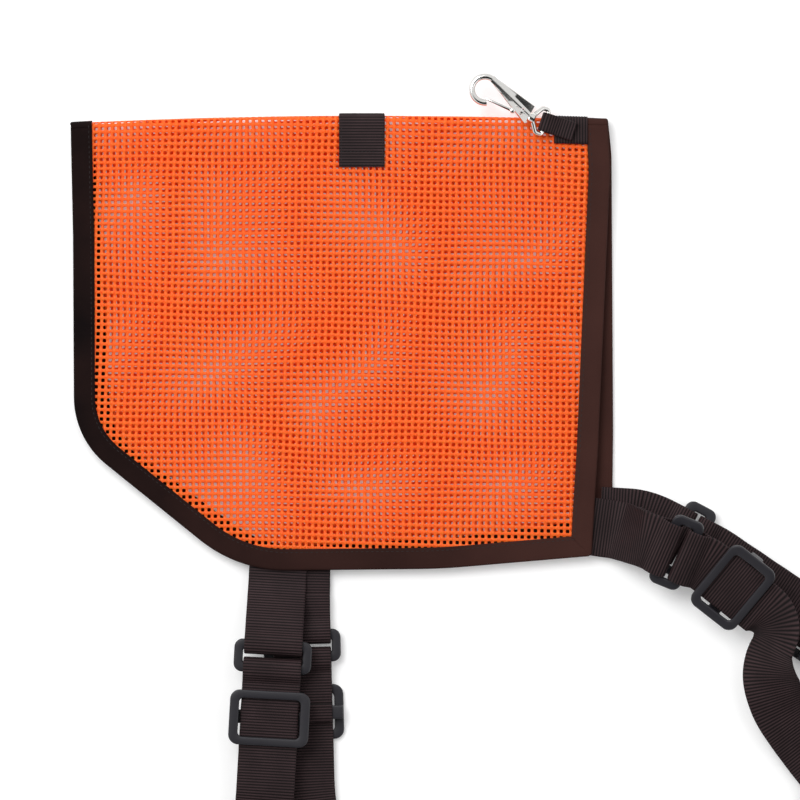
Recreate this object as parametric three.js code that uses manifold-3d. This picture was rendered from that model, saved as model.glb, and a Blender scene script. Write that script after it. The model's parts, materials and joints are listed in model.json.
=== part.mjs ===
// Blaze orange dog vest: a coated mesh cape, folded flat at the spine, with four adjustable straps.
// Millimetres, +Z up. X runs from the rear hem to the neck, Y is 0 where the spine's fold begins.
import * as THREE from 'three';
import { mergeVertices } from 'three/addons/utils/BufferGeometryUtils.js';
import Module from 'manifold-3d';

const wasm = await Module();
wasm.setup();

// ---- Driving dimensions ----
const GAP = 0.3; // between pieces that touch
const FLAP_LENGTH = 352.6; // along the spine
const FLAP_DEPTH = 294.8; // from the spine to the bottom edge
const MESH_THICKNESS = 0.9;
const BINDING_WIDTH = 14; // the part of the folded tape that shows
const TAPE = 0.6; // thickness of the binding tape
const WEB_THICKNESS = 1.6;
const WEB_WIDTH = 38;
const TRIM_THICKNESS = 1.4; // webbing of the tab and the hook strap
const TAB_WIDTH = 30;
const TAB_LENGTH = 30;
const TAB_X = 193; // centre of the tab along the spine
const HOOK_STRAP_WIDTH = 13; // the share of its width that lies on each flap
const HOOK_STRAP_END_X = FLAP_LENGTH - 33.6;
const FLAP_TURN = 2.8; // degrees between the two flaps, from an uneven fold
const FLAP_TURN_X = 115; // where the two flaps' outlines cross the spine together
const ANCHOR_RETURN = 26; // length of its sewn second layer
const RING_HEIGHT = 21.6; // along the strap
const RING_BAR = 6.4;
const RING_THICKNESS = 3.2;
const RING_END = 5; // width of the ring's end members
const RING_PLAY = 2.8; // more room across than the web is wide
const RING_LENGTH = WEB_WIDTH + RING_PLAY + 2 * RING_END; // across the strap
const BAR_PLAY = 0.35; // between a bar and the web that is folded round it
const BAR_TURN = 40; // degrees that a bar can turn in its web
const GLIDE_HEIGHT = 36;
const GLIDE_BAR = 5.3;
const GLIDE_FRAME_THICKNESS = 2.6;
const GLIDE_CENTRE_BAR = 9;
const GLIDE_CENTRE_THICKNESS = 2.2;
const GLIDE_SIDE = 5.2; // width of its side members
const GLIDE_PLAY = 4;
const GLIDE_LENGTH = WEB_WIDTH + GLIDE_PLAY + 2 * GLIDE_SIDE; // across the strap
const BUCKLE_THICKNESS = 11;
const BUCKLE_BODY = 36; // length of the housing, or of the prongs' base and prongs
const BUCKLE_BAR = 5;
const YOKE_ARM = 4; // width of the arms that join the bar to the body
const YOKE_PLAY = 3;
const BUCKLE_WIDTH = WEB_WIDTH + YOKE_PLAY + 2 * YOKE_ARM;
const YOKE_THICKNESS = 4.4;
const SOCKET_WALL = 2;
const SOCKET_PLAY = 1.5; // beside the prongs
const PRONG_BASE = 9; // length of the block that the prongs spring from
const PRONG_WIDTH = 6;
const PRONG_SPREAD = 34; // over the outsides of the two prongs
const BARB_LENGTH = 11;
const WINDOW_START = 8; // of the housing's side windows, from its closed end
const WINDOW_LENGTH = 12;
const STACK_GAP = 0.5; // between the near strap's hardware and the far strap's
const EYE_WIRE = 3.2;
const EYE_LENGTH = 20; // across the loop
const EYE_DEPTH = 9.6; // from the middle of its bar to the swivel
const EYE_BAR_X = HOOK_STRAP_END_X - 6;
const EYE_BAR_Y = -1;
const EYE_HEADING = 162; // degrees, from the bar to the swivel
const EYE_PITCH = 20; // degrees that the eye stands up from the vest
const EYE_NECK = 6.4; // width over the eye's legs where they meet its collar
const HOOK_HEADING = 150; // degrees, from the swivel to the bend
const SWIVEL_DIAMETER = 7;
const STEM_DIAMETER = 3;
const COLLAR_LENGTH = 4;
const END_WALL_LENGTH = 4.6; // of the hook's body, round the stem
const HEAD_LENGTH = 1.4; // of the stem's head, behind that wall
const HOOK_THICKNESS = 4.6;
const BEND_MIDDLE_X = 36; // from the swivel, along the hook
const BEND_MIDDLE_Y = -0.6;
const BEND_RADIUS = 8.5; // to the middle of the rod
const HOOK_ROD = 4.4;
const TIP_ANGLE = 127; // degrees round the bend, from the hook's axis
const GATE_PIVOT = [13.5, 2.4]; // in the hook's own frame
const GATE_WIDTH = 2;
const GATE_LENGTH = 17.4; // from its pivot
const GATE_THICKNESS = 1.6;
const GATE_TILT = 5; // degrees from the hook's axis, closed
const GATE_RANGE = 20; // degrees that it opens
const GATE_BOSS = 4; // diameter round the rivet
const RIVET_DIAMETER = 2;
const RIVET_HEAD = 0.7; // its thickness
const LOOP_REACH = 20; // of the hook's loop, from the eye's bar to its sewn ends

// ---- Heights through the folded vest, worked out from the layers ----
const BINDING_THICKNESS = MESH_THICKNESS + 2 * GAP + 2 * TAPE;
const FAR_MESH_Z = TRIM_THICKNESS + GAP; // underside of the far mesh
const FAR_BINDING_Z = FAR_MESH_Z - GAP - TAPE;
const NEAR_BINDING_Z = FAR_BINDING_Z + BINDING_THICKNESS + 2 * WEB_THICKNESS + 3 * GAP;
const NEAR_MESH_Z = NEAR_BINDING_Z + TAPE + GAP;
const FOLD_Z = (FAR_MESH_Z + NEAR_MESH_Z + MESH_THICKNESS) / 2;
const FOLD_RADIUS = FOLD_Z - FAR_MESH_Z - MESH_THICKNESS / 2; // to the middle of the mesh
const TRIM_RADIUS = FOLD_RADIUS + MESH_THICKNESS / 2 + GAP; // inside of the tab's and hook strap's fold
const LAYER = (WEB_THICKNESS + GAP) / 2; // from a strap's middle to the middle of either layer
const NEAR_TRIM_TOP = NEAR_MESH_Z + MESH_THICKNESS + GAP + TRIM_THICKNESS;
const EYE_BORE = EYE_WIRE / 2 + GAP; // inside of the loop round the eye's bar
const HOOK_Z = NEAR_TRIM_TOP + GAP + TRIM_THICKNESS + EYE_BORE;

// ---- Materials ----
const finish = (color, roughness, metalness = 0) =>
  new THREE.MeshStandardMaterial({ color, roughness, metalness });
const orangeMesh = finish(0xff5a1e, 0.45);
const blackTape = finish(0x1c1a1b, 0.85);
const blackWeb = finish(0x2b282a, 0.8);
const blackPlastic = finish(0x232427, 0.4);
const nickel = finish(0xc9c9c6, 0.22, 1);

const vest = new THREE.Group();

function place(name, geometry, material, parent = vest) {
  const mesh = new THREE.Mesh(geometry, material);
  mesh.name = name;
  parent.add(mesh);
}

// ---- Solids ----
function toSolid(geometry) {
  const bare = geometry.index ? geometry.toNonIndexed() : geometry.clone();
  bare.deleteAttribute('normal');
  bare.deleteAttribute('uv');
  const merged = mergeVertices(bare, 1e-4);
  return new wasm.Manifold(new wasm.Mesh({
    numProp: 3,
    vertProperties: merged.attributes.position.array,
    triVerts: merged.index.array,
  }));
}

function toGeometry(solid) {
  const mesh = solid.getMesh();
  const geometry = new THREE.BufferGeometry();
  geometry.setAttribute('position', new THREE.BufferAttribute(mesh.vertProperties, 3));
  geometry.setIndex(new THREE.BufferAttribute(mesh.triVerts, 1));
  return geometry;
}

const join = (first, ...rest) => rest.reduce((sum, next) => sum.add(next), first);

// A plate with the outline `points` in XY, between two heights.
function plate(points, low, high) {
  const geometry = new THREE.ExtrudeGeometry(new THREE.Shape(points), {
    depth: high - low, bevelEnabled: false, curveSegments: 16,
  });
  return toSolid(geometry.translate(0, 0, low));
}

// A block from one corner to the other.
function block(x0, x1, y0, y1, z0, z1) {
  const geometry = new THREE.BoxGeometry(x1 - x0, y1 - y0, z1 - z0);
  return toSolid(geometry.translate((x0 + x1) / 2, (y0 + y1) / 2, (z0 + z1) / 2));
}

// A polygon whose corners [x, y, radius] are rounded by arcs.
function rounded(corners) {
  const points = [];
  corners.forEach(([x, y, radius = 0], i) => {
    const at = new THREE.Vector2(x, y);
    const before = corners.at(i - 1);
    const after = corners[(i + 1) % corners.length];
    const back = new THREE.Vector2(before[0], before[1]).sub(at).normalize();
    const on = new THREE.Vector2(after[0], after[1]).sub(at).normalize();
    const half = Math.acos(THREE.MathUtils.clamp(back.dot(on), -1, 1)) / 2;
    if (!radius) return points.push(at);
    const middle = back.clone().add(on).normalize().multiplyScalar(radius / Math.sin(half)).add(at);
    const start = at.clone().addScaledVector(back, radius / Math.tan(half)).sub(middle);
    const end = at.clone().addScaledVector(on, radius / Math.tan(half)).sub(middle);
    const sweep = Math.atan2(start.cross(end), start.dot(end));
    const steps = Math.max(2, Math.ceil(Math.abs(sweep) / 0.16));
    for (let k = 0; k <= steps; k++) {
      points.push(start.clone().rotateAround(new THREE.Vector2(), (sweep * k) / steps).add(middle));
    }
  });
  return points;
}

// A plate with rounded corners, centred on X and Y.
const roundedPlate = (along, across, radius, low, high) => plate(rounded([
  [-along / 2, -across / 2, radius], [along / 2, -across / 2, radius],
  [along / 2, across / 2, radius], [-along / 2, across / 2, radius],
]), low, high);

// A bar along Y with fully rounded edges, `width` along X.
function bar(x, width, length, z, thickness) {
  const r = thickness / 2 - 0.01;
  const section = rounded([
    [-width / 2, -thickness / 2, r], [width / 2, -thickness / 2, r],
    [width / 2, thickness / 2, r], [-width / 2, thickness / 2, r],
  ]);
  const shape = new THREE.Shape(section);
  const geometry = new THREE.ExtrudeGeometry(shape, { depth: length, bevelEnabled: false });
  geometry.rotateX(Math.PI / 2).translate(x, length / 2, z);
  return toSolid(geometry);
}

// ---- Flaps ----
// Corners of one flap, from the rear end of the spine round to the neck end, as [x, y, radius].
const FLAP_TOP = 30; // how far the outline runs past the spine before it is cut there
const FLAP_CORNERS = [
  [-1, FLAP_TOP, 0],
  [3.6, -75, 400],
  [4.3, 86.8 - FLAP_DEPTH, 57],
  [112, -FLAP_DEPTH, 90],
  [FLAP_LENGTH - 107.6, 1.4 - FLAP_DEPTH, 400],
  [FLAP_LENGTH - 9, 9.8 - FLAP_DEPTH, 3],
  [FLAP_LENGTH - 4.8, 79.8 - FLAP_DEPTH, 400],
  [FLAP_LENGTH + 3.2, -30, 120],
  [FLAP_LENGTH, FLAP_TOP, 0],
];

// The flap's corners moved in by `inset`, with the top edge left where it is.
function insetCorners(corners, inset) {
  const lines = corners.map(([x, y], i) => {
    const [nx, ny] = corners[(i + 1) % corners.length];
    const along = new THREE.Vector2(nx - x, ny - y).normalize();
    const shift = i === corners.length - 1 ? 0 : inset;
    const through = new THREE.Vector2(x - along.y * shift, y + along.x * shift);
    return { through, along };
  });
  return corners.map(([, , radius], i) => {
    const a = lines.at(i - 1);
    const b = lines[i];
    const t = b.through.clone().sub(a.through).cross(b.along) / a.along.cross(b.along);
    const at = a.through.clone().addScaledVector(a.along, t);
    return [at.x, at.y, Math.max(radius - inset, 0)];
  });
}

// Corners or points of the near flap, turned to where the far one has them.
function turned(corners) {
  const pivot = new THREE.Vector2(FLAP_TURN_X, 0);
  return corners.map(([x, y, radius]) => {
    const at = new THREE.Vector2(x, y).rotateAround(pivot, THREE.MathUtils.degToRad(FLAP_TURN));
    return [at.x, at.y, radius];
  });
}

const belowSpine = () => block(-FLAP_LENGTH, 2 * FLAP_LENGTH, -2 * FLAP_DEPTH, 0, -50, 50);

// Half of a fold round the spine: `side` is 1 for the near flap and -1 for the far one.
function halfFold(x0, x1, inside, thickness, side) {
  const outside = inside + thickness;
  const steps = 8;
  const points = [];
  const first = Math.asin(GAP / 2 / inside);
  for (let k = 0; k <= steps; k++) {
    const a = first + ((Math.PI / 2 - first) * k) / steps;
    points.push([outside * Math.cos(a), outside * Math.sin(a)]);
  }
  points.push([-0.5, outside], [-0.5, inside]);
  for (let k = steps; k >= 0; k--) {
    const a = first + ((Math.PI / 2 - first) * k) / steps;
    points.push([inside * Math.cos(a), inside * Math.sin(a)]);
  }
  const section = new THREE.Shape(points.map(([y, z]) => new THREE.Vector2(y, side * z)));
  const geometry = new THREE.ExtrudeGeometry(section, { depth: x1 - x0, bevelEnabled: false });
  // the section's X and Y become the model's Y and Z, and its depth runs along X
  geometry.applyMatrix4(new THREE.Matrix4().set(0, 0, 1, x0, 1, 0, 0, 0, 0, 1, 0, FOLD_Z, 0, 0, 0, 1));
  return toSolid(geometry);
}

// Where a flap's edge, moved in by `inset`, meets the spine at each end.
function spineEnds(corners, inset) {
  const moved = insetCorners(corners, inset);
  const cross = ([ax, ay], [bx, by]) => ax + ((bx - ax) * -ay) / (by - ay);
  return [cross(moved[0], moved[1]), cross(moved.at(-2), moved.at(-1))];
}

const flaps = {
  far: { corners: turned(FLAP_CORNERS), meshZ: FAR_MESH_Z, bindingZ: FAR_BINDING_Z, side: -1 },
  near: { corners: FLAP_CORNERS, meshZ: NEAR_MESH_Z, bindingZ: NEAR_BINDING_Z, side: 1 },
};

for (const [which, { corners, meshZ, bindingZ, side }] of Object.entries(flaps)) {
  const meshInset = TAPE + GAP;
  const [rear, neck] = spineEnds(corners, meshInset);
  const panel = plate(rounded(insetCorners(corners, meshInset)), meshZ, meshZ + MESH_THICKNESS);
  place(`${which}_mesh_panel`, toGeometry(join(
    panel.intersect(belowSpine()),
    halfFold(rear, neck, FOLD_RADIUS - MESH_THICKNESS / 2, MESH_THICKNESS, side),
  )), orangeMesh);

  const bindingTop = bindingZ + BINDING_THICKNESS;
  const outer = plate(rounded(corners), bindingZ, bindingTop);
  const window = plate(rounded(insetCorners(corners, BINDING_WIDTH)), bindingZ - 1, bindingTop + 1);
  const slot = plate(rounded(insetCorners(corners, TAPE)), bindingZ + TAPE, bindingTop - TAPE);
  place(`${which}_binding`, toGeometry(
    outer.intersect(belowSpine()).subtract(window).subtract(slot),
  ), blackTape);

  const trimLow = side > 0 ? meshZ + MESH_THICKNESS + GAP : meshZ - GAP - TRIM_THICKNESS;
  const trim = (x0, x1, length) => toGeometry(join(
    block(x0, x1, -length, 0, trimLow, trimLow + TRIM_THICKNESS),
    halfFold(x0, x1, TRIM_RADIUS, TRIM_THICKNESS, side),
  ));
  place(`${which}_tab`, trim(TAB_X - TAB_WIDTH / 2, TAB_X + TAB_WIDTH / 2, TAB_LENGTH), blackWeb);
  const bindingStart = Math.min(spineEnds(corners, BINDING_WIDTH)[1], neck - BINDING_WIDTH) - 1;
  place(`${which}_hook_strap`, trim(HOOK_STRAP_END_X, bindingStart, HOOK_STRAP_WIDTH), blackWeb);
}

// ---- Webbing ----
// A strip of webbing: a rectangle swept through stations, each with its middle and its direction across.
function strip(stations, width, thickness) {
  const positions = [];
  const index = [];
  const count = stations.length;
  stations.forEach(({ at, across }, i) => {
    const before = stations[Math.max(i - 1, 0)].at;
    const after = stations[Math.min(i + 1, count - 1)].at;
    const along = after.clone().sub(before).normalize();
    const up = new THREE.Vector3().crossVectors(along, across).normalize();
    for (const [y, z] of [[-1, -1], [1, -1], [1, 1], [-1, 1]]) {
      const corner = at.clone().addScaledVector(across, (y * width) / 2);
      positions.push(...corner.addScaledVector(up, (z * thickness) / 2).toArray());
    }
  });
  for (let i = 0; i < count - 1; i++) {
    for (let k = 0; k < 4; k++) {
      const a = 4 * i + k;
      const b = 4 * i + ((k + 1) % 4);
      index.push(a, b, a + 4, b, b + 4, a + 4);
    }
  }
  const last = 4 * (count - 1);
  index.push(0, 2, 1, 0, 3, 2, last, last + 1, last + 2, last, last + 2, last + 3);
  const geometry = new THREE.BufferGeometry();
  geometry.setAttribute('position', new THREE.Float32BufferAttribute(positions, 3));
  geometry.setIndex(index);
  return geometry;
}

// A strap's course: legs of [length, heading, pitch, roll] in degrees, each turning evenly to its end values.
function course(x, y, z, heading, legs) {
  const step = 0.5;
  const frames = [];
  const at = new THREE.Vector3(x, y, z);
  let now = [heading, 0, 0];
  const push = () => {
    const [h, p, r] = now.map(THREE.MathUtils.degToRad);
    const along = new THREE.Vector3(Math.cos(h) * Math.cos(p), Math.sin(h) * Math.cos(p), Math.sin(p));
    const level = new THREE.Vector3(-Math.sin(h), Math.cos(h), 0);
    const up = new THREE.Vector3().crossVectors(along, level);
    const across = level.clone().multiplyScalar(Math.cos(r)).addScaledVector(up, Math.sin(r));
    frames.push({ at: at.clone(), along, across, up: new THREE.Vector3().crossVectors(along, across) });
  };
  push();
  for (const [length, ...goal] of legs) {
    const from = now;
    const steps = Math.round(length / step);
    for (let k = 1; k <= steps; k++) {
      at.addScaledVector(frames.at(-1).along, length / steps);
      now = from.map((value, i) => value + ((goal[i] - value) * k) / steps);
      push();
    }
  }
  const travelled = [0];
  frames.slice(1).forEach((frame, i) => travelled.push(travelled[i] + frame.at.distanceTo(frames[i].at)));
  return (s) => {
    const i = Math.max(0, Math.min(travelled.findIndex((t) => t >= s - 1e-9) - 1, frames.length - 2));
    const share = (s - travelled[i]) / (travelled[i + 1] - travelled[i]);
    const [a, b] = [frames[i], frames[i + 1]];
    return {
      at: a.at.clone().lerp(b.at, share),
      along: a.along.clone().lerp(b.along, share).normalize(),
      across: a.across.clone().lerp(b.across, share).normalize(),
      up: a.up.clone().lerp(b.up, share).normalize(),
    };
  };
}

// Stations of a web that follows a course, from [distance along, height off the course's middle].
const along = (frame, points) => points.map(([s, z]) => {
  const { at, across, up } = frame(s);
  return { at: at.clone().addScaledVector(up, z), across };
});

// Points from `from` to `to`, about `step` apart, at one height.
function run(from, to, z, step = 5) {
  const steps = Math.max(1, Math.round(Math.abs(to - from) / step));
  return Array.from({ length: steps + 1 }, (_, k) => [from + ((to - from) * k) / steps, z]);
}

// Half round a bar at `s`, from height z on one side to -z on the other; `way` is the side it bulges to.
function bight(s, z, way, steps = 10) {
  return Array.from({ length: steps - 1 }, (_, k) => {
    const a = (Math.PI * (k + 1)) / steps;
    return [s + way * Math.abs(z) * Math.sin(a), z * Math.cos(a)];
  });
}

// A web's fold round a flat bar, roomy enough for the bar to turn in it.
function loopRound(barWidth) {
  const turn = Math.sin(THREE.MathUtils.degToRad(BAR_TURN));
  const inside = (barWidth / 2 - RING_THICKNESS / 2) * turn + RING_THICKNESS / 2 + BAR_PLAY;
  return {
    middle: inside + WEB_THICKNESS / 2, // height of the web's middle, from the bar's middle
    outside: inside + WEB_THICKNESS,
    offset: barWidth / 2 + BAR_PLAY - inside, // middle of the fold, from the bar's middle
    flat: barWidth / 2 + 1, // how far the two layers stay apart behind the bar
  };
}
const RING_LOOP = loopRound(RING_BAR);
const BUCKLE_LOOP = loopRound(BUCKLE_BAR);
const LOOP_TAPER = 9; // length over which the two layers come together
const BAR_SPACING = RING_HEIGHT - RING_BAR;

// One ring, in its own frame: X along the strap, Y across it, its middle at the origin.
function ring() {
  const inner = RING_LENGTH - 2 * RING_END;
  const outer = roundedPlate(RING_HEIGHT, RING_LENGTH, 5, -RING_THICKNESS / 2, RING_THICKNESS / 2);
  const middle = block(-RING_HEIGHT / 2 - 1, RING_HEIGHT / 2 + 1, -inner / 2, inner / 2, -5, 5);
  return toGeometry(join(
    outer.subtract(middle),
    bar(-BAR_SPACING / 2, RING_BAR, inner + 2, 0, RING_THICKNESS),
    bar(BAR_SPACING / 2, RING_BAR, inner + 2, 0, RING_THICKNESS),
  ));
}

// Heights in a tri-glide, from the strap's middle. The web's end is folded round the centre bar.
const GLIDE_LOW = LAYER + WEB_THICKNESS / 2 + GAP; // underside of its outer bars
const WEB_END_MIDDLE = GLIDE_CENTRE_THICKNESS / 2 + GAP + WEB_THICKNESS / 2;
const CENTRE_MIDDLE = LAYER - WEB_THICKNESS - GAP - WEB_END_MIDDLE;
const GLIDE_UNDER = WEB_END_MIDDLE + WEB_THICKNESS / 2 - CENTRE_MIDDLE; // how far it reaches under the middle

// One tri-glide, in its own frame like the ring's: the running web lies under its outer bars and over its
// centre bar.
function triGlide() {
  const top = GLIDE_LOW + GLIDE_FRAME_THICKNESS;
  const inner = GLIDE_LENGTH - 2 * GLIDE_SIDE;
  const frame = roundedPlate(GLIDE_HEIGHT, GLIDE_LENGTH, 6, GLIDE_LOW, top)
    .subtract(roundedPlate(GLIDE_HEIGHT - 2 * GLIDE_BAR, inner, 3, GLIDE_LOW - 1, top + 1));
  const inset = 0.5; // of the sides' webs, inside the frame
  const sides = [-1, 1].map((side) => {
    const y = side * (inner / 2 + GLIDE_SIDE / 2);
    const half = GLIDE_SIDE / 2 - inset;
    return block(-GLIDE_CENTRE_BAR / 2, GLIDE_CENTRE_BAR / 2, y - half, y + half, CENTRE_MIDDLE, top - inset);
  });
  return toGeometry(join(frame, ...sides,
    bar(0, GLIDE_CENTRE_BAR, GLIDE_LENGTH - 2, CENTRE_MIDDLE, GLIDE_CENTRE_THICKNESS)));
}

// Buckle halves, in a frame like the ring's: the web's bar is at the origin and the body points along +X.
const BAR_TO_BODY = BUCKLE_BAR / 2 + BUCKLE_LOOP.outside + 1;

function buckleYoke() {
  const reach = BAR_TO_BODY + 2;
  const half = YOKE_THICKNESS / 2;
  const middle = BUCKLE_WIDTH / 2 - YOKE_ARM / 2;
  const arms = [-middle, middle].map((y) => (
    block(-BUCKLE_BAR / 2, reach, y - YOKE_ARM / 2, y + YOKE_ARM / 2, -half, half)));
  return join(bar(0, BUCKLE_BAR, BUCKLE_WIDTH - 2, 0, RING_THICKNESS), ...arms);
}

function femaleBuckle() {
  const half = BUCKLE_THICKNESS / 2;
  const inside = half - SOCKET_WALL;
  const across = PRONG_SPREAD / 2 + SOCKET_PLAY;
  const windowAt = BAR_TO_BODY + WINDOW_START;
  const body = roundedPlate(BUCKLE_BODY, BUCKLE_WIDTH, 5, -half, half)
    .translate([BAR_TO_BODY + BUCKLE_BODY / 2, 0, 0]);
  const socket = block(BAR_TO_BODY + 2 * SOCKET_WALL, BAR_TO_BODY + BUCKLE_BODY + 1, -across, across,
    -inside, inside);
  const sideWindows = block(windowAt, windowAt + WINDOW_LENGTH, -BUCKLE_WIDTH, BUCKLE_WIDTH, -inside, inside);
  return toGeometry(join(body.subtract(socket).subtract(sideWindows), buckleYoke()));
}

function maleBuckle() {
  const half = BUCKLE_THICKNESS / 2 - SOCKET_WALL - GAP;
  const base = roundedPlate(PRONG_BASE, BUCKLE_WIDTH, 3, -half, half)
    .translate([BAR_TO_BODY + PRONG_BASE / 2, 0, 0]);
  const root = BAR_TO_BODY + PRONG_BASE - 1;
  const tip = BAR_TO_BODY + PRONG_BASE + BUCKLE_BODY - 2 * SOCKET_WALL - 2;
  const barb = tip - BARB_LENGTH;
  const outside = PRONG_SPREAD / 2;
  const prongs = [-1, 1].map((side) => plate(rounded([
    [root, side * (outside - PRONG_WIDTH)],
    [tip, side * (outside - PRONG_WIDTH)],
    [tip, side * (outside - 2), 1.5],
    [barb, side * (outside + 1), 1.5],
    [barb, side * (outside - 2)],
    [root, side * (outside - 1)],
  ]), -half, half));
  return toGeometry(join(base, ...prongs, buckleYoke()));
}

// ---- Straps ----
// the near strap's hardware rests on the far strap's
const NEAR_RISE = 2 * Math.max(RING_LOOP.outside, GLIDE_UNDER) + STACK_GAP;
const CHEST_ROLL = 20; // the near chest strap lies tilted on the far one
const CHEST_RISE = NEAR_RISE + (RING_LENGTH / 2) * Math.sin(THREE.MathUtils.degToRad(CHEST_ROLL));

// Legs that climb by `rise` over `length`, turning to `heading` and `roll` on the way.
function climb(length, rise, heading, roll, from) {
  const ease = 8;
  const pitch = THREE.MathUtils.radToDeg(Math.asin(rise / (length - ease)));
  const middle = (from + heading) / 2;
  return [[ease, middle, pitch, 0], [length - 2 * ease, heading, pitch, roll], [ease, heading, 0, roll]];
}

// Each strap: where its course starts under the hem, on its flap before that is turned, its legs to the ring,
// the heading of its straight run, how far its tri-glide sits beyond the ring's second bar, how far the
// tri-glide can slide towards the ring and away from it, and its last legs.
const STRAPS = {
  far_belly: {
    side: -1, start: [139.8, 10.8 - FLAP_DEPTH], heading: -91.5, buckle: maleBuckle,
    lead: [[14, -91.5, 0, 0], [30, -88.5, 0, 0]],
    runHeading: -88.5, glide: 36.2, travel: [8, 22],
    tail: [[52, -72, 0, 0], [20, -72, 0, 0]],
  },
  near_belly: {
    side: 1, start: [138.7, 13.3 - FLAP_DEPTH], heading: -93.2, buckle: femaleBuckle,
    lead: [[18.2, -93.2, 0, 0], ...climb(36, NEAR_RISE, -93.2, 0, -93.2)],
    runHeading: -93.2, glide: 32.7, travel: [5, 25],
    tail: [[10, -95, -13, 0], [44, -107, -13, 0], [16, -107, 0, 0]],
  },
  far_chest: {
    side: -1, start: [FLAP_LENGTH - 16, 25 - FLAP_DEPTH], heading: -3, buckle: maleBuckle,
    lead: [[17, -3, 0, 0], [15, -20, 0, 0], [10, -28, 0, 0]],
    runHeading: -34, glide: 100, travel: [50, 8],
    tail: [[16, -36, 0, 0]],
  },
  near_chest: {
    side: 1, start: [FLAP_LENGTH - 17.1, 30.3 - FLAP_DEPTH], heading: -8, buckle: femaleBuckle,
    lead: [[21, -8, 0, 0], ...climb(36, CHEST_RISE, -22, CHEST_ROLL, -8)],
    runHeading: -38, glide: 36, travel: [3, 5],
    tail: [[26, -110, -10, 50], [26, -75, -15, 20], [30, -55, -15, 0], [46, -50, 0, 0]],
  },
};
const RING_LEAD = 10; // straight stretch of the course before a ring's first bar
const RUN_TURN = 5; // the running web turns to its own heading over this length
const STRAIGHT_MARGIN = 2; // straight web left beyond the tri-glide's travel
const WEB_END_LENGTH = 7; // how much of the second layer a tri-glide carries with it
const RETURN_GAP = 2; // left between that and the rest of the second layer
const SEWN_END = 10; // length of a web's end behind its buckle

for (const [name, strap] of Object.entries(STRAPS)) {
  const { side, runHeading } = strap;
  const [up, down] = strap.travel;
  const [, ringHeading, , roll] = strap.lead.at(-1);
  const leadLength = strap.lead.reduce((sum, [length]) => sum + length, 0);
  const firstBar = leadLength + RING_LEAD;
  const secondBar = firstBar + BAR_SPACING;
  const afterRing = secondBar + LOOP_TAPER + 1;
  const glideAt = secondBar + strap.glide;
  const [[startX, startY]] = side > 0 ? [strap.start] : turned([strap.start]);
  const frame = course(startX, startY, FOLD_Z, strap.heading, [
    ...strap.lead,
    [RING_LEAD + BAR_SPACING + LOOP_TAPER + 1, ringHeading, 0, roll],
    [RUN_TURN, runHeading, 0, roll],
    [glideAt + GLIDE_HEIGHT / 2 + down + STRAIGHT_MARGIN - afterRing - RUN_TURN, runHeading, 0, roll],
    ...strap.tail,
    [30, ...strap.tail.at(-1).slice(1)],
  ]);
  const bodyGroup = (s) => {
    const { at, along: x, across: y, up: z } = frame(s);
    const group = new THREE.Group();
    const basis = new THREE.Matrix4().makeBasis(x, y.multiplyScalar(side), z.multiplyScalar(side));
    group.applyMatrix4(basis.setPosition(at));
    vest.add(group);
    return group;
  };
  const onFace = (points) => along(frame, points.map(([s, z]) => [s, side * z]));

  place(`${name}_anchor_web`, strip(onFace([
    ...run(0, firstBar - LOOP_TAPER, LAYER),
    ...run(firstBar - RING_LOOP.flat, firstBar + RING_LOOP.offset, RING_LOOP.middle),
    ...bight(firstBar + RING_LOOP.offset, RING_LOOP.middle, 1),
    ...run(firstBar + RING_LOOP.offset, firstBar - RING_LOOP.flat, -RING_LOOP.middle),
    ...run(firstBar - LOOP_TAPER, firstBar - ANCHOR_RETURN, -LAYER),
  ]), WEB_WIDTH, WEB_THICKNESS), blackWeb);

  place(`${name}_ring`, ring(), blackPlastic, bodyGroup(firstBar + BAR_SPACING / 2));

  const tailLength = strap.tail.reduce((sum, [length]) => sum + length, 0);
  const runEnd = glideAt + GLIDE_HEIGHT / 2 + down + STRAIGHT_MARGIN + tailLength;
  const centreHalf = GLIDE_CENTRE_BAR / 2 - GLIDE_CENTRE_THICKNESS / 2 + GAP;
  const returnEnd = glideAt - centreHalf - WEB_END_LENGTH - up - RETURN_GAP;
  place(`${name}_running_web`, strip(onFace([
    ...run(returnEnd, secondBar + LOOP_TAPER, -LAYER),
    ...run(secondBar + RING_LOOP.flat, secondBar - RING_LOOP.offset, -RING_LOOP.middle),
    ...bight(secondBar - RING_LOOP.offset, -RING_LOOP.middle, -1),
    ...run(secondBar - RING_LOOP.offset, secondBar + RING_LOOP.flat, RING_LOOP.middle),
    ...run(secondBar + LOOP_TAPER, runEnd - LOOP_TAPER, LAYER, 6),
    ...run(runEnd - BUCKLE_LOOP.flat, runEnd + BUCKLE_LOOP.offset, BUCKLE_LOOP.middle),
    ...bight(runEnd + BUCKLE_LOOP.offset, BUCKLE_LOOP.middle, 1),
    ...run(runEnd + BUCKLE_LOOP.offset, runEnd - BUCKLE_LOOP.flat, -BUCKLE_LOOP.middle),
    ...run(runEnd - LOOP_TAPER, runEnd - LOOP_TAPER - SEWN_END, -LAYER),
  ]), WEB_WIDTH, WEB_THICKNESS), blackWeb);

  const glideGroup = bodyGroup(glideAt);
  place(`${name}_tri_glide`, triGlide(), blackPlastic, glideGroup);
  place(`${name}_web_end`, strip([
    ...run(-centreHalf - WEB_END_LENGTH, centreHalf, WEB_END_MIDDLE),
    ...bight(centreHalf, WEB_END_MIDDLE, 1),
    ...run(centreHalf, -centreHalf - 2, -WEB_END_MIDDLE),
  ].map(([x, z]) => ({ at: new THREE.Vector3(x, 0, CENTRE_MIDDLE + z), across: new THREE.Vector3(0, 1, 0) })),
  WEB_WIDTH, WEB_THICKNESS), blackWeb, glideGroup);

  place(`${name}_buckle`, strap.buckle(), blackPlastic, bodyGroup(runEnd));
}

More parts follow.
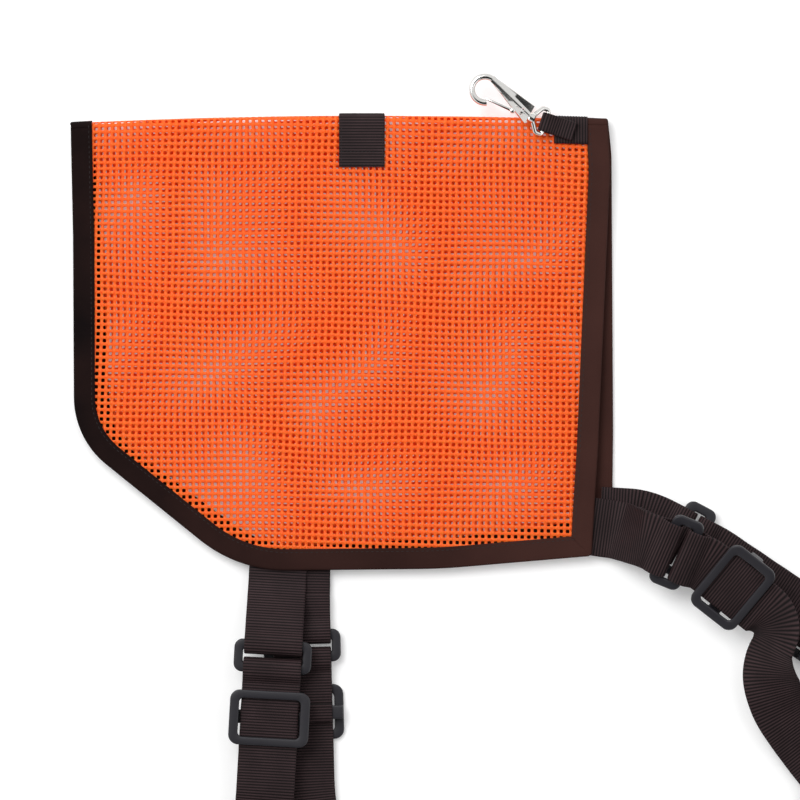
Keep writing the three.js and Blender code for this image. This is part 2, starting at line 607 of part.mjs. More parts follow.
// ---- Snap hook ----
// A rod along X, between two places on it.
function rod(from, to, diameter) {
  const geometry = new THREE.CylinderGeometry(diameter / 2, diameter / 2, to - from, 20);
  return toSolid(geometry.rotateZ(Math.PI / 2).translate((from + to) / 2, 0, 0));
}

// A pin along Z, centred on the hook's thickness.
function pin([x, y], length, diameter) {
  const geometry = new THREE.CylinderGeometry(diameter / 2, diameter / 2, length, 20);
  return toSolid(geometry.rotateX(Math.PI / 2).translate(x, y, 0));
}

// The group of a hook part: its X points along `heading`.
function hookGroup(x, y, z, heading) {
  const group = new THREE.Group();
  group.position.set(x, y, z);
  group.rotation.z = THREE.MathUtils.degToRad(heading);
  vest.add(group);
  return group;
}

const eyeTurn = THREE.MathUtils.degToRad(EYE_HEADING);
const eyePitch = THREE.MathUtils.degToRad(EYE_PITCH);
const EYE_SPAN = EYE_DEPTH * Math.cos(eyePitch); // the same depth, seen from above
const EYE_LIFT = EYE_DEPTH * Math.sin(eyePitch);
const swivelX = EYE_BAR_X + EYE_SPAN * Math.cos(eyeTurn);
const swivelY = EYE_BAR_Y + EYE_SPAN * Math.sin(eyeTurn);
const swivelGroup = hookGroup(swivelX, swivelY, HOOK_Z + EYE_LIFT, HOOK_HEADING);

// The stem runs from the collar through the hook's end wall, and its head turns in the chamber behind it.
const COLLAR_HALF = COLLAR_LENGTH / 2;
const END_WALL = [COLLAR_HALF + GAP, COLLAR_HALF + GAP + END_WALL_LENGTH];
const HEAD = [END_WALL[1] + GAP, END_WALL[1] + GAP + HEAD_LENGTH];
const HEAD_DIAMETER = STEM_DIAMETER + 1.6;

// The eye is drawn in the swivel's frame, so that its stem lies on the swivel's axis.
function swivelEye() {
  const half = EYE_LENGTH / 2;
  const wire = EYE_WIRE;
  const bow = EYE_BORE + TRIM_THICKNESS + GAP; // the legs stay parallel past the loop
  const neck = EYE_NECK / 2;
  const outerTip = EYE_DEPTH + 0.8; // inside the collar
  const innerTip = outerTip - wire;
  const outer = [[0, half, 0], [0, -half, 0], [bow, -half, 2], [outerTip, -neck, 1.5],
    [outerTip, neck, 1.5], [bow, half, 2]];
  const inner = [[-wire, half - wire, 0], [-wire, -half + wire, 0], [bow, -half + wire, 0.5],
    [innerTip, -neck / 2, 0.5], [innerTip, neck / 2, 0.5], [bow, half - wire, 0.5]];
  const legs = plate(rounded(outer), -wire / 2, wire / 2).subtract(plate(rounded(inner), -wire, wire));
  const eye = legs.add(bar(0, wire, EYE_LENGTH, 0, wire));
  const swing = EYE_HEADING - HOOK_HEADING;
  return toGeometry(join(
    eye.rotate([0, -EYE_PITCH, 0]).translate([-EYE_SPAN, 0, -EYE_LIFT]).rotate([0, 0, swing]),
    rod(-COLLAR_HALF, COLLAR_HALF, SWIVEL_DIAMETER),
    rod(0, HEAD[1], STEM_DIAMETER),
    rod(HEAD[0], HEAD[1], HEAD_DIAMETER),
  ));
}
place('hook_eye', swivelEye(), nickel, swivelGroup);

// The bend's rod from the back arm round to the tip, as the outline between two radii.
function arcPoints(radius, from, to) {
  const steps = 22;
  return Array.from({ length: steps + 1 }, (_, k) => {
    const a = THREE.MathUtils.degToRad(from + ((to - from) * k) / steps);
    return [BEND_MIDDLE_X + radius * Math.cos(a), BEND_MIDDLE_Y + radius * Math.sin(a)];
  });
}

// The hook's body narrows from its end wall to the bend's rod, and is slotted for the gate's whole swing.
function hookBody() {
  const half = HOOK_THICKNESS / 2;
  const start = END_WALL[0];
  const [px, py] = GATE_PIVOT;
  const outline = [
    [start, -7.6],
    ...arcPoints(BEND_RADIUS + HOOK_ROD / 2, -92, TIP_ANGLE),
    ...arcPoints(BEND_RADIUS - HOOK_ROD / 2, TIP_ANGLE, -100),
    [px + 0.4, py + 2.5],
    [start + 1.5, py + 3.6],
    [start, py + 2.6],
  ];
  const slotHalf = GATE_THICKNESS / 2 + GAP;
  const slotBack = px - GATE_BOSS / 2 - 2 * GAP;
  const slotEnd = px + GATE_LENGTH - 0.4;
  const slotTop = py + 6.6; // open above the body
  const openTurn = THREE.MathUtils.degToRad(GATE_RANGE - GATE_TILT);
  const openLow = py - (slotEnd - px) * Math.sin(openTurn) - GATE_WIDTH / 2 - GAP;
  const gateSlot = plate([
    [slotBack, py - GATE_BOSS / 2 - GAP],
    [px + 3, py - GATE_BOSS / 2 - 2 * GAP],
    [slotEnd, openLow],
    [slotEnd, py + 0.2],
    [px + 6, slotTop],
    [slotBack, slotTop],
  ].map(([x, y]) => new THREE.Vector2(x, y)), -slotHalf, slotHalf);
  const headRoom = HEAD_DIAMETER / 2 + GAP;
  const chamber = block(END_WALL[1], HEAD[1] + GAP, -headRoom, headRoom, -10, 10);
  return toGeometry(
    plate(outline.map(([x, y]) => new THREE.Vector2(x, y)), -half, half)
      .add(rod(END_WALL[0], HEAD[1] + GAP + 1, SWIVEL_DIAMETER))
      .subtract(gateSlot)
      .subtract(chamber)
      .subtract(rod(0, END_WALL[1] + 1, STEM_DIAMETER + 2 * GAP))
      .subtract(pin(GATE_PIVOT, 20, RIVET_DIAMETER + 2 * GAP)),
  );
}
place('hook_body', hookBody(), nickel, swivelGroup);

function gate() {
  const leaf = plate(rounded([
    [-1, -GATE_WIDTH / 2, 0], [GATE_LENGTH, -GATE_WIDTH / 2, 0.6],
    [GATE_LENGTH, GATE_WIDTH / 2, 0.6], [-1, GATE_WIDTH / 2, 0],
  ]), -GATE_THICKNESS / 2, GATE_THICKNESS / 2);
  return toGeometry(join(
    leaf.rotate([0, 0, GATE_TILT]).translate([...GATE_PIVOT, 0]),
    pin(GATE_PIVOT, GATE_THICKNESS, GATE_BOSS),
  ).subtract(pin(GATE_PIVOT, 20, RIVET_DIAMETER + 2 * GAP)));
}
place('hook_gate', gate(), nickel, swivelGroup);

function rivet() {
  const headDiameter = RIVET_DIAMETER + 1.4;
  const headAt = HOOK_THICKNESS / 2 + GAP + RIVET_HEAD / 2;
  const shank = pin(GATE_PIVOT, 2 * headAt, RIVET_DIAMETER);
  const heads = [-headAt, headAt].map((z) => pin(GATE_PIVOT, RIVET_HEAD, headDiameter).translate([0, 0, z]));
  return toGeometry(join(shank, ...heads));
}
place('gate_rivet', rivet(), nickel, swivelGroup);

// The hook strap's free end: folded round the eye's bar, with both ends sewn on top of the strap.
const loopMiddle = EYE_BORE + TRIM_THICKNESS / 2;
const LOOP_WIDTH = EYE_LENGTH - 2 * EYE_WIRE - 4 * GAP;
const loopGroup = hookGroup(EYE_BAR_X, EYE_BAR_Y, HOOK_Z, EYE_HEADING - 180);
place('hook_loop', strip([
  ...run(LOOP_REACH, 0, -loopMiddle),
  ...bight(0, -loopMiddle, -1),
  [0, loopMiddle],
  [2, loopMiddle],
  ...run(9, LOOP_REACH, TRIM_THICKNESS + GAP - loopMiddle),
].map(([x, z]) => ({ at: new THREE.Vector3(x, 0, z), across: new THREE.Vector3(0, 1, 0) })),
LOOP_WIDTH, TRIM_THICKNESS), blackWeb, loopGroup);

// The origin is under the middle of the whole vest.
vest.updateMatrixWorld(true);
const extent = new THREE.Box3().setFromObject(vest, true);
const middle = extent.getCenter(new THREE.Vector3());
vest.position.set(-middle.x, -middle.y, -extent.min.z);

export default vest;
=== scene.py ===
import json
import math

import bmesh
import bpy
from mathutils import Matrix, Vector, noise


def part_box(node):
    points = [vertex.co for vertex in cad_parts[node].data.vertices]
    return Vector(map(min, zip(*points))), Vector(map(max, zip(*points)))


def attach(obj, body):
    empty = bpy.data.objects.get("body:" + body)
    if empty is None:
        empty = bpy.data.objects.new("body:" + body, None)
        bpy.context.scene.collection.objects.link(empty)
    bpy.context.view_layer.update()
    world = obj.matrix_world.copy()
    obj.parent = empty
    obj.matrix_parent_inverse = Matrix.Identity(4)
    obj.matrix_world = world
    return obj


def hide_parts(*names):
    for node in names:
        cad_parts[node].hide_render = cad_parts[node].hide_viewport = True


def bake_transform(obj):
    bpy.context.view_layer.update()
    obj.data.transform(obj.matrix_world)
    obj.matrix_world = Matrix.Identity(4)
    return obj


bl_info = {
    "name": "Blaze Orange Vest",
    "version": (1, 0, 0),
    "blender": (4, 5, 0),
    "location": "3D View > Sidebar > Vest",
    "description": "Builds a folded dog vest of open mesh, with its straps and its snap hook",
    "category": "Add Mesh",
}

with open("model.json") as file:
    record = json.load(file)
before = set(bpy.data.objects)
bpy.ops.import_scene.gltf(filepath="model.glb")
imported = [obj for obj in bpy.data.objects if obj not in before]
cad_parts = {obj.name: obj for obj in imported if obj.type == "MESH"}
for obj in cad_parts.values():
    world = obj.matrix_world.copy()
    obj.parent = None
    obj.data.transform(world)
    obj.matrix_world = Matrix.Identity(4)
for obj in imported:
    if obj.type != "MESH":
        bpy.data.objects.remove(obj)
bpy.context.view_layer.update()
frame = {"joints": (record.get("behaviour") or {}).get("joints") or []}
JOINTS = {joint["name"]: joint for joint in frame["joints"]}
MM = 0.001

# ---- Sizes of the vest, in millimetres. X runs along the spine from the rear hem, Y is 0 at the fold's start ----
GAP = 0.3
FLAP_LENGTH = 352.6
FLAP_DEPTH = 294.8
FLAP_TURN = math.radians(2.8)
FLAP_TURN_X = 115
BINDING_WIDTH = 14
TAPE = 0.6
TAB_X = 193
TAB_WIDTH = 30
TAB_LENGTH = 30
TRIM_THICKNESS = 1.4
HOOK_STRAP_WIDTH = 13
HOOK_STRAP_START_X = FLAP_LENGTH - 33.6
WEB_WIDTH = 38
WEB_THICKNESS = 1.6
ANCHOR_RETURN = 26
RING_HEIGHT = 21.6
RING_BAR = 6.4
RING_THICKNESS = 3.2
RING_END = 5
RING_LENGTH = WEB_WIDTH + 2.8 + 2 * RING_END
RING_SLOT = WEB_WIDTH + 1
BAR_PLAY = 0.55
BAR_TURN = math.radians(40)
GLIDE_HEIGHT = 36
GLIDE_BAR = 5.3
GLIDE_FRAME_THICKNESS = 2.6
GLIDE_CENTRE_BAR = 9
GLIDE_CENTRE_THICKNESS = 2.2
GLIDE_LENGTH = WEB_WIDTH + 14.4
GLIDE_WINDOW = WEB_WIDTH + 2.2
GLIDE_SIDE = (GLIDE_LENGTH - GLIDE_WINDOW) / 2
BUCKLE_BAR = 5
BUCKLE_WIDTH = 49
BUCKLE_THICKNESS = 11
BUCKLE_BODY = 36
YOKE_ARM = 4
SOCKET_WALL = 2
PRONG_BASE = 9
PRONG_WIDTH = 6
PRONG_SPREAD = 34
EYE_WIRE = 3.2
EYE_LENGTH = 20
EYE_DEPTH = 9.6
EYE_PITCH = math.radians(20)
EYE_SWING = math.radians(12)
HOOK_THICKNESS = 4.6
BEND_MIDDLE = (36, -0.6)
BEND_RADIUS = 8.5
HOOK_ROD = 4.4
TIP_ANGLE = math.radians(127)
GATE_PIVOT = (13.5, 2.4)
GATE_LENGTH = 17.4
GATE_TILT = math.radians(5)
LOOP_REACH = 20

# ---- Heights, from the frame ----
TAB_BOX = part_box("near_tab")
ORIGIN = Vector((TAB_BOX[0].x - (TAB_X - TAB_WIDTH / 2) * MM, TAB_BOX[0].y + TAB_LENGTH * MM, 0))
TO_ROW = Matrix.Translation(ORIGIN) @ Matrix.Scale(MM, 4)
MESH_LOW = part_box("far_mesh_panel")[0].z / MM
MESH_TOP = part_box("near_mesh_panel")[1].z / MM
TRIM_TOP = TAB_BOX[1].z / MM
SHEET = TRIM_TOP - TRIM_THICKNESS - GAP - MESH_TOP + 0.9
FOLD_Z = (MESH_LOW + MESH_TOP) / 2
FOLD_RADIUS = FOLD_Z - MESH_LOW - SHEET / 2
QUARTER = FOLD_RADIUS * math.pi / 2
TRIM_MIDDLE = TRIM_TOP - TRIM_THICKNESS / 2 - FOLD_Z
LAYER = (WEB_THICKNESS + GAP) / 2
ARCH_DEPTH = 90
MESH_DRAW = 1.6
DARK_SIDE = (0.1, -0.58, 0.81)

# Corners of the near flap: x, y and radius. The outline ends a quarter of the fold past the spine.
FLAP_CORNERS = (
    (2.0, QUARTER, 0),
    (3.6, -75, 400),
    (4.3, 86.8 - FLAP_DEPTH, 57),
    (112, -FLAP_DEPTH, 90),
    (FLAP_LENGTH - 107.6, 1.4 - FLAP_DEPTH, 400),
    (FLAP_LENGTH - 9, 9.8 - FLAP_DEPTH, 3),
    (FLAP_LENGTH - 4.8, 79.8 - FLAP_DEPTH, 400),
    (FLAP_LENGTH + 3.2, -30, 120),
    (FLAP_LENGTH + 1.2, QUARTER, 0),
)


class VestSizes(bpy.types.PropertyGroup):
    """Sizes that change how the vest's cloth and stitching look, in metres."""
    mesh_pitch: bpy.props.FloatProperty(
        name="Mesh pitch", description="Distance between the mesh's holes",
        default=0.0042, unit="LENGTH")
    hole_size: bpy.props.FloatProperty(
        name="Hole size", description="Width of each hole in the mesh",
        default=0.0023, unit="LENGTH")
    rib_pitch: bpy.props.FloatProperty(
        name="Rib pitch", description="Distance between the webbing's cross ribs",
        default=0.00185, unit="LENGTH")
    rib_height: bpy.props.FloatProperty(
        name="Rib height", description="How far a cross rib stands out of its groove",
        default=0.0003, unit="LENGTH")
    stitch_pitch: bpy.props.FloatProperty(
        name="Stitch pitch", description="Distance from one stitch to the next",
        default=0.0033, unit="LENGTH")
    camera_height: bpy.props.FloatProperty(
        name="Camera height", description="Height of the camera above the floor",
        default=3.01, unit="LENGTH")
    camera_lens: bpy.props.FloatProperty(
        name="Camera lens", description="Focal length of the camera in millimetres",
        default=206.0, unit="CAMERA")


class VestColours(bpy.types.PropertyGroup):
    """Colours of the vest's finishes."""
    coating: bpy.props.FloatVectorProperty(
        name="Coating", description="Colour of the mesh's coating",
        default=(1.0, 0.135, 0.016), size=3, subtype="COLOR")
    coating_deep: bpy.props.FloatVectorProperty(
        name="Deep coating", description="Colour of the coating inside the holes",
        default=(1.0, 0.095, 0.008), size=3, subtype="COLOR")
    tape: bpy.props.FloatVectorProperty(
        name="Tape", description="Colour of the edge binding",
        default=(0.0035, 0.0022, 0.0025), size=3, subtype="COLOR")
    # Target colour of a painted warm flare that browns the tape towards the neck, and of the tape's random darker or
    # lighter patches.
    tape_flare_and_wear: bpy.props.FloatVectorProperty(
        name="Tape flare and wear", description="Colour of the binding where it is rubbed",
        default=(0.052, 0.021, 0.017), size=3, subtype="COLOR")
    webbing: bpy.props.FloatVectorProperty(
        name="Webbing", description="Colour of the straps' ribs",
        default=(0.049, 0.029, 0.031), size=3, subtype="COLOR")
    # Painted shade in the grooves between the ribs, and the darker tone of the webbing's random patches.
    webbing_groove_shade_and_patches: bpy.props.FloatVectorProperty(
        name="Webbing groove shade", description="Colour between the straps' ribs",
        default=(0.004, 0.003, 0.0032), size=3, subtype="COLOR")
    plastic: bpy.props.FloatVectorProperty(
        name="Plastic", description="Colour of the rings, tri-glides and buckles",
        default=(0.019, 0.018, 0.022), size=3, subtype="COLOR")
    metal: bpy.props.FloatVectorProperty(
        name="Metal", description="Colour of the snap hook's plating",
        default=(0.74, 0.73, 0.71), size=3, subtype="COLOR")
    thread: bpy.props.FloatVectorProperty(
        name="Thread", description="Colour of the stitching",
        default=(0.012, 0.009, 0.01), size=3, subtype="COLOR")
    floor: bpy.props.FloatVectorProperty(
        name="Floor", description="Colour of the floor",
        default=(0.86, 0.86, 0.86), size=3, subtype="COLOR")


# ---- Shader node groups ----
def new_group(name, inputs, outputs):
    """An empty shader node group with named float or colour sockets."""
    group = bpy.data.node_groups.new(name, "ShaderNodeTree")
    for label, kind, default in inputs:
        socket = group.interface.new_socket(label, in_out="INPUT", socket_type=kind)
        if default is not None:
            socket.default_value = default
    for label, kind in outputs:
        group.interface.new_socket(label, in_out="OUTPUT", socket_type=kind)
    return group, group.nodes.new("NodeGroupInput"), group.nodes.new("NodeGroupOutput")


def math_node(tree, operation, first, second=None):
    """A Math node fed by sockets or numbers."""
    node = tree.nodes.new("ShaderNodeMath")
    node.operation = operation
    for socket, value in zip(node.inputs, (first, second)):
        if isinstance(value, bpy.types.NodeSocket):
            tree.links.new(value, socket)
        elif value is not None:
            socket.default_value = value
    return node.outputs[0]


def mix_colour(tree, factor, first, second):
    """A colour mix fed by sockets or colours."""
    node = tree.nodes.new("ShaderNodeMix")
    node.data_type = "RGBA"
    for socket, value in ((node.inputs[0], factor), (node.inputs[6], first), (node.inputs[7], second)):
        if isinstance(value, bpy.types.NodeSocket):
            tree.links.new(value, socket)
        elif isinstance(value, (int, float)):
            socket.default_value = value
        else:
            socket.default_value = (*value[:3], 1)
    return node.outputs[2]


def grain_group():
    """Fine surface grain: a height, and a slow mask that varies a colour or a roughness."""
    group, given, put = new_group(
        "fine_grain",
        [("Vector", "NodeSocketVector", None), ("Scale", "NodeSocketFloat", 900.0),
         ("Patch Scale", "NodeSocketFloat", 40.0), ("Contrast", "NodeSocketFloat", 1.0)],
        [("Height", "NodeSocketFloat"), ("Patches", "NodeSocketFloat")])
    fine = group.nodes.new("ShaderNodeTexNoise")
    fine.inputs["Detail"].default_value = 3
    slow = group.nodes.new("ShaderNodeTexNoise")
    slow.inputs["Detail"].default_value = 4
    for node, scale in ((fine, "Scale"), (slow, "Patch Scale")):
        group.links.new(given.outputs["Vector"], node.inputs["Vector"])
        group.links.new(given.outputs[scale], node.inputs["Scale"])
    spread = math_node(group, "MULTIPLY", math_node(group, "SUBTRACT", slow.outputs[0], 0.5),
                       given.outputs["Contrast"])
    clamped = math_node(group, "ADD", math_node(group, "MULTIPLY", spread, 2.2), 0.5)
    limit = group.nodes.new("ShaderNodeClamp")
    group.links.new(clamped, limit.inputs[0])
    group.links.new(fine.outputs[0], put.inputs["Height"])
    group.links.new(limit.outputs[0], put.inputs["Patches"])
    return group


def weave_group():
    """Cross ribs with the slant of their yarns, on a UV map in metres: a height and a rib mask."""
    group, given, put = new_group(
        "ribbed_weave",
        [("UV", "NodeSocketVector", None), ("Rib Pitch", "NodeSocketFloat", 0.0014),
         ("Yarn Pitch", "NodeSocketFloat", 0.0009)],
        [("Height", "NodeSocketFloat"), ("Rib", "NodeSocketFloat")])
    split = group.nodes.new("ShaderNodeSeparateXYZ")
    group.links.new(given.outputs["UV"], split.inputs[0])
    turn = 2 * math.pi
    along = math_node(group, "MULTIPLY", math_node(group, "DIVIDE", split.outputs["Y"], given.outputs["Rib Pitch"]),
                      turn)
    across = math_node(group, "MULTIPLY", math_node(group, "DIVIDE", split.outputs["X"], given.outputs["Yarn Pitch"]),
                       turn)
    rib = math_node(group, "COSINE", along)
    slant = math_node(group, "SINE", math_node(group, "ADD", across, math_node(group, "MULTIPLY", along, 0.5)))
    ribs = math_node(group, "ADD", math_node(group, "MULTIPLY", rib, 0.5), 0.5)
    height = math_node(group, "ADD", math_node(group, "MULTIPLY", ribs, 0.7), math_node(group, "MULTIPLY", slant, 0.3))
    group.links.new(height, put.inputs["Height"])
    group.links.new(ribs, put.inputs["Rib"])
    return group


def shader(name, colour, roughness, **settings):
    """A material with its Principled shader's plain values set, and that shader."""
    material = bpy.data.materials.new(name)
    material.use_nodes = True
    principled = material.node_tree.nodes["Principled BSDF"]
    principled.inputs["Base Color"].default_value = (*colour, 1)
    principled.inputs["Roughness"].default_value = roughness
    for label, value in settings.items():
        principled.inputs[label.replace("_", " ")].default_value = value
    return material, principled


def place_group(tree, group, **values):
    node = tree.nodes.new("ShaderNodeGroup")
    node.node_tree = group
    for label, value in values.items():
        node.inputs[label.replace("_", " ")].default_value = value
    return node


def bump(tree, principled, height, strength, distance):
    """Feeds a height to the shader's normal."""
    node = tree.nodes.new("ShaderNodeBump")
    node.inputs["Strength"].default_value = strength
    node.inputs["Distance"].default_value = distance
    tree.links.new(height, node.inputs["Height"])
    tree.links.new(node.outputs[0], principled.inputs["Normal"])


def object_coordinates(tree):
    return tree.nodes.new("ShaderNodeTexCoord").outputs["Object"]


def vary_roughness(tree, principled, patches, low, high):
    """Roughness between two values by a mask."""
    spread = math_node(tree, "MULTIPLY", patches, high - low)
    tree.links.new(math_node(tree, "ADD", spread, low), principled.inputs["Roughness"])


def coating_material(colours, grain):
    material, principled = shader("orange_coating", colours.coating, 0.4, Specular_IOR_Level=0.16,
                                  Subsurface_Weight=0.6, Subsurface_Scale=0.003)
    tree = material.node_tree
    node = place_group(tree, grain, Scale=1500.0, Patch_Scale=35.0, Contrast=1.0)
    tree.links.new(object_coordinates(tree), node.inputs["Vector"])
    tint = mix_colour(tree, math_node(tree, "MULTIPLY", node.outputs["Patches"], 0.3),
                      colours.coating, colours.coating_deep)
    tree.links.new(tint, principled.inputs["Base Color"])
    vary_roughness(tree, principled, node.outputs["Patches"], 0.34, 0.5)
    bump(tree, principled, node.outputs["Height"], 0.35, 0.0002)
    return material


def tape_material(colours, grain):
    material, principled = shader("tape_with_flare_and_wear", colours.tape, 0.8, Specular_IOR_Level=0.05)
    tree = material.node_tree
    node = place_group(tree, grain, Scale=2200.0, Patch_Scale=18.0, Contrast=1.4)
    tree.links.new(object_coordinates(tree), node.inputs["Vector"])
    # Painted flare: along X the tape is mixed from near black at the rear hem to warm brown at the neck, plus random
    # patches of the same brown.
    place = tree.nodes.new("ShaderNodeSeparateXYZ")
    tree.links.new(object_coordinates(tree), place.inputs[0])
    painted_flare = tree.nodes.new("ShaderNodeMapRange")
    tree.links.new(place.outputs["X"], painted_flare.inputs["Value"])
    for label, value in (("From Min", ORIGIN.x), ("From Max", ORIGIN.x + FLAP_LENGTH * MM),
                         ("To Min", 0.0), ("To Max", 0.75)):
        painted_flare.inputs[label].default_value = value
    flare_and_patches = math_node(tree, "ADD", painted_flare.outputs[0], math_node(tree, "MULTIPLY", node.outputs["Patches"], 0.2))
    tree.links.new(mix_colour(tree, flare_and_patches, colours.tape, colours.tape_flare_and_wear), principled.inputs["Base Color"])
    bump(tree, principled, node.outputs["Height"], 0.6, 0.0002)
    return material


def webbing_material(colours, grain, weave, sizes):
    material, principled = shader("ribbed_webbing", colours.webbing, 0.6, Specular_IOR_Level=0.1)
    tree = material.node_tree
    uv = tree.nodes.new("ShaderNodeUVMap")
    uv.uv_map = "weave"
    ribs = place_group(tree, weave, Rib_Pitch=sizes.rib_pitch, Yarn_Pitch=0.0011)
    tree.links.new(uv.outputs[0], ribs.inputs["UV"])
    node = place_group(tree, grain, Scale=1800.0, Patch_Scale=55.0, Contrast=1.2)
    tree.links.new(object_coordinates(tree), node.inputs["Vector"])
    # Painted shade: the rib mask makes the grooves between the ribs much darker than the ribs, on top of their real
    # relief; random patches then darken it further.
    colour = mix_colour(tree, ribs.outputs["Rib"], colours.webbing_groove_shade_and_patches, colours.webbing)
    shade = mix_colour(tree, math_node(tree, "MULTIPLY", node.outputs["Patches"], 0.35), colour,
                       colours.webbing_groove_shade_and_patches)
    tree.links.new(shade, principled.inputs["Base Color"])
    height = math_node(tree, "ADD", ribs.outputs["Height"], math_node(tree, "MULTIPLY", node.outputs["Height"], 0.4))
    bump(tree, principled, height, 0.5, 0.00025)
    return material


def plastic_material(colours, grain):
    material, principled = shader("moulded_plastic", colours.plastic, 0.36, Specular_IOR_Level=0.3)
    tree = material.node_tree
    node = place_group(tree, grain, Scale=1400.0, Patch_Scale=30.0, Contrast=1.0)
    tree.links.new(object_coordinates(tree), node.inputs["Vector"])
    vary_roughness(tree, principled, node.outputs["Patches"], 0.33, 0.48)
    bump(tree, principled, node.outputs["Height"], 0.25, 0.0001)
    return material


def metal_material(colours, grain):
    material, principled = shader("plated_metal", colours.metal, 0.12, Metallic=1.0)
    tree = material.node_tree
    node = place_group(tree, grain, Scale=700.0, Patch_Scale=120.0, Contrast=1.3)
    tree.links.new(object_coordinates(tree), node.inputs["Vector"])
    vary_roughness(tree, principled, node.outputs["Patches"], 0.06, 0.2)
    bump(tree, principled, node.outputs["Height"], 0.12, 0.0002)
    return material


def thread_material(colours, grain):
    material, principled = shader("thread", colours.thread, 0.6, Specular_IOR_Level=0.3)
    tree = material.node_tree
    node = place_group(tree, grain, Scale=4000.0, Patch_Scale=200.0, Contrast=1.0)
    tree.links.new(object_coordinates(tree), node.inputs["Vector"])
    bump(tree, principled, node.outputs["Height"], 0.5, 0.0001)
    return material


def materials():
    """The vest's materials by name, made on first use."""
    if "orange_coating" not in bpy.data.materials:
        sizes, colours = bpy.context.scene.vest_sizes, bpy.context.scene.vest_colours
        grain, weave = grain_group(), weave_group()
        coating_material(colours, grain)
        tape_material(colours, grain)
        webbing_material(colours, grain, weave, sizes)
        plastic_material(colours, grain)
        metal_material(colours, grain)
        thread_material(colours, grain)
    return bpy.data.materials


# ---- Making pieces ----
def piece(bm, name, material, body=None, replaces=(), smooth=True):
    """Turns a bmesh in millimetres into a finished object in the row frame."""
    bmesh.ops.transform(bm, matrix=TO_ROW, verts=bm.verts)
    mesh = bpy.data.meshes.new(name)
    bm.to_mesh(mesh)
    bm.free()
    mesh.polygons.foreach_set("use_smooth", [smooth] * len(mesh.polygons))
    made = bpy.data.objects.new(name, mesh)
    bpy.context.scene.collection.objects.link(made)
    made.data.materials.append(materials()[material])
    if body:
        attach(made, body)
    if replaces:
        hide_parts(*replaces)
    return made


def sharp_smooth(made, degrees=35):
    """Keeps edges above an angle crisp on a smooth mesh."""
    mesh = made.data
    bm = bmesh.new()
    bm.from_mesh(mesh)
    for edge in bm.edges:
        edge.smooth = len(edge.link_faces) == 2 and edge.calc_face_angle() < math.radians(degrees)
    bm.to_mesh(mesh)
    bm.free()
    return made


def loft(bm, rows, caps=True, marks=None):
    """Joins rings of points into a closed skin. `marks` gives each ring point its UV, in metres."""
    uv = bm.loops.layers.uv.get("weave") or bm.loops.layers.uv.new("weave")
    rings = [[bm.verts.new(point) for point in row] for row in rows]
    place = {}
    if marks:
        for ring, row in zip(rings, marks):
            place.update(zip(ring, row))
    count = len(rings[0])
    made = []
    for first, second in zip(rings, rings[1:]):
        for k in range(count):
            n = (k + 1) % count
            made.append(bm.faces.new((first[k], first[n], second[n], second[k])))
    if caps:
        made.append(bm.faces.new(list(reversed(rings[0]))))
        made.append(bm.faces.new(rings[-1]))
    for face in made:
        for loop in face.loops:
            loop[uv].uv = place.get(loop.vert, (0, 0))
    return made


def prism(outline, low, high, window=None):
    """A plate between two heights with an outline, and a window if one is given."""
    bm = bmesh.new()
    loops = []
    for points in filter(None, (outline, window)):
        verts = [bm.verts.new((x, y, low)) for x, y in points]
        loops.append([bm.edges.new((a, b)) for a, b in zip(verts, verts[1:] + verts[:1])])
    if window:
        bmesh.ops.bridge_loops(bm, edges=loops[0] + loops[1])
    else:
        bmesh.ops.contextual_create(bm, geom=bm.verts[:] + bm.edges[:])
    lifted = bmesh.ops.extrude_face_region(bm, geom=bm.faces[:])
    bmesh.ops.translate(bm, vec=(0, 0, high - low),
                        verts=[g for g in lifted["geom"] if isinstance(g, bmesh.types.BMVert)])
    bmesh.ops.recalc_face_normals(bm, faces=bm.faces)
    return bm


def soften(bm, offset, segments=3, angle=40):
    """Rounds the edges that are sharper than an angle."""
    edges = [e for e in bm.edges if len(e.link_faces) == 2 and e.calc_face_angle() > math.radians(angle)]
    bmesh.ops.bevel(bm, geom=edges, offset=offset, affect="EDGES", segments=segments, profile=0.5,
                    material=-1, clamp_overlap=True)
    return bm


def rounded(corners, step=0.16):
    """Points of a polygon whose corners (x, y, radius) are rounded by arcs."""
    points = []
    for i, (x, y, radius) in enumerate(corners):
        at = Vector((x, y))
        back = (Vector(corners[i - 1][:2]) - at).normalized()
        on = (Vector(corners[(i + 1) % len(corners)][:2]) - at).normalized()
        if not radius:
            points.append(at)
            continue
        half = back.angle(on) / 2
        middle = at + (back + on).normalized() * (radius / math.sin(half))
        start = at + back * (radius / math.tan(half)) - middle
        end = at + on * (radius / math.tan(half)) - middle
        sweep = math.atan2(start.x * end.y - start.y * end.x, start.dot(end))
        steps = max(2, math.ceil(abs(sweep) / step))
        for k in range(steps + 1):
            points.append(middle + Matrix.Rotation(sweep * k / steps, 2) @ start)
    return points


def oblong(along, across, radius, middle=0.0):
    """The outline of a rectangle with round corners, centred on the X axis."""
    x, y = along / 2, across / 2
    return rounded([(middle - x, -y, radius), (middle + x, -y, radius),
                    (middle + x, y, radius), (middle - x, y, radius)], step=0.26)


def round_bar(bm, x, width, length, z, thickness):
    """A bar along Y with round edges."""
    radius = thickness / 2 * 0.96
    section = rounded([(-width / 2, -thickness / 2, radius), (width / 2, -thickness / 2, radius),
                       (width / 2, thickness / 2, radius), (-width / 2, thickness / 2, radius)], step=0.3)
    return loft(bm, [[(x + p.x, y, z + p.y) for p in section] for y in (length / 2, -length / 2)])


def absorb(bm, other):
    """Moves everything in another bmesh into this one."""
    holder = bpy.data.meshes.new("holder")
    other.to_mesh(holder)
    other.free()
    bm.from_mesh(holder)
    bpy.data.meshes.remove(holder)


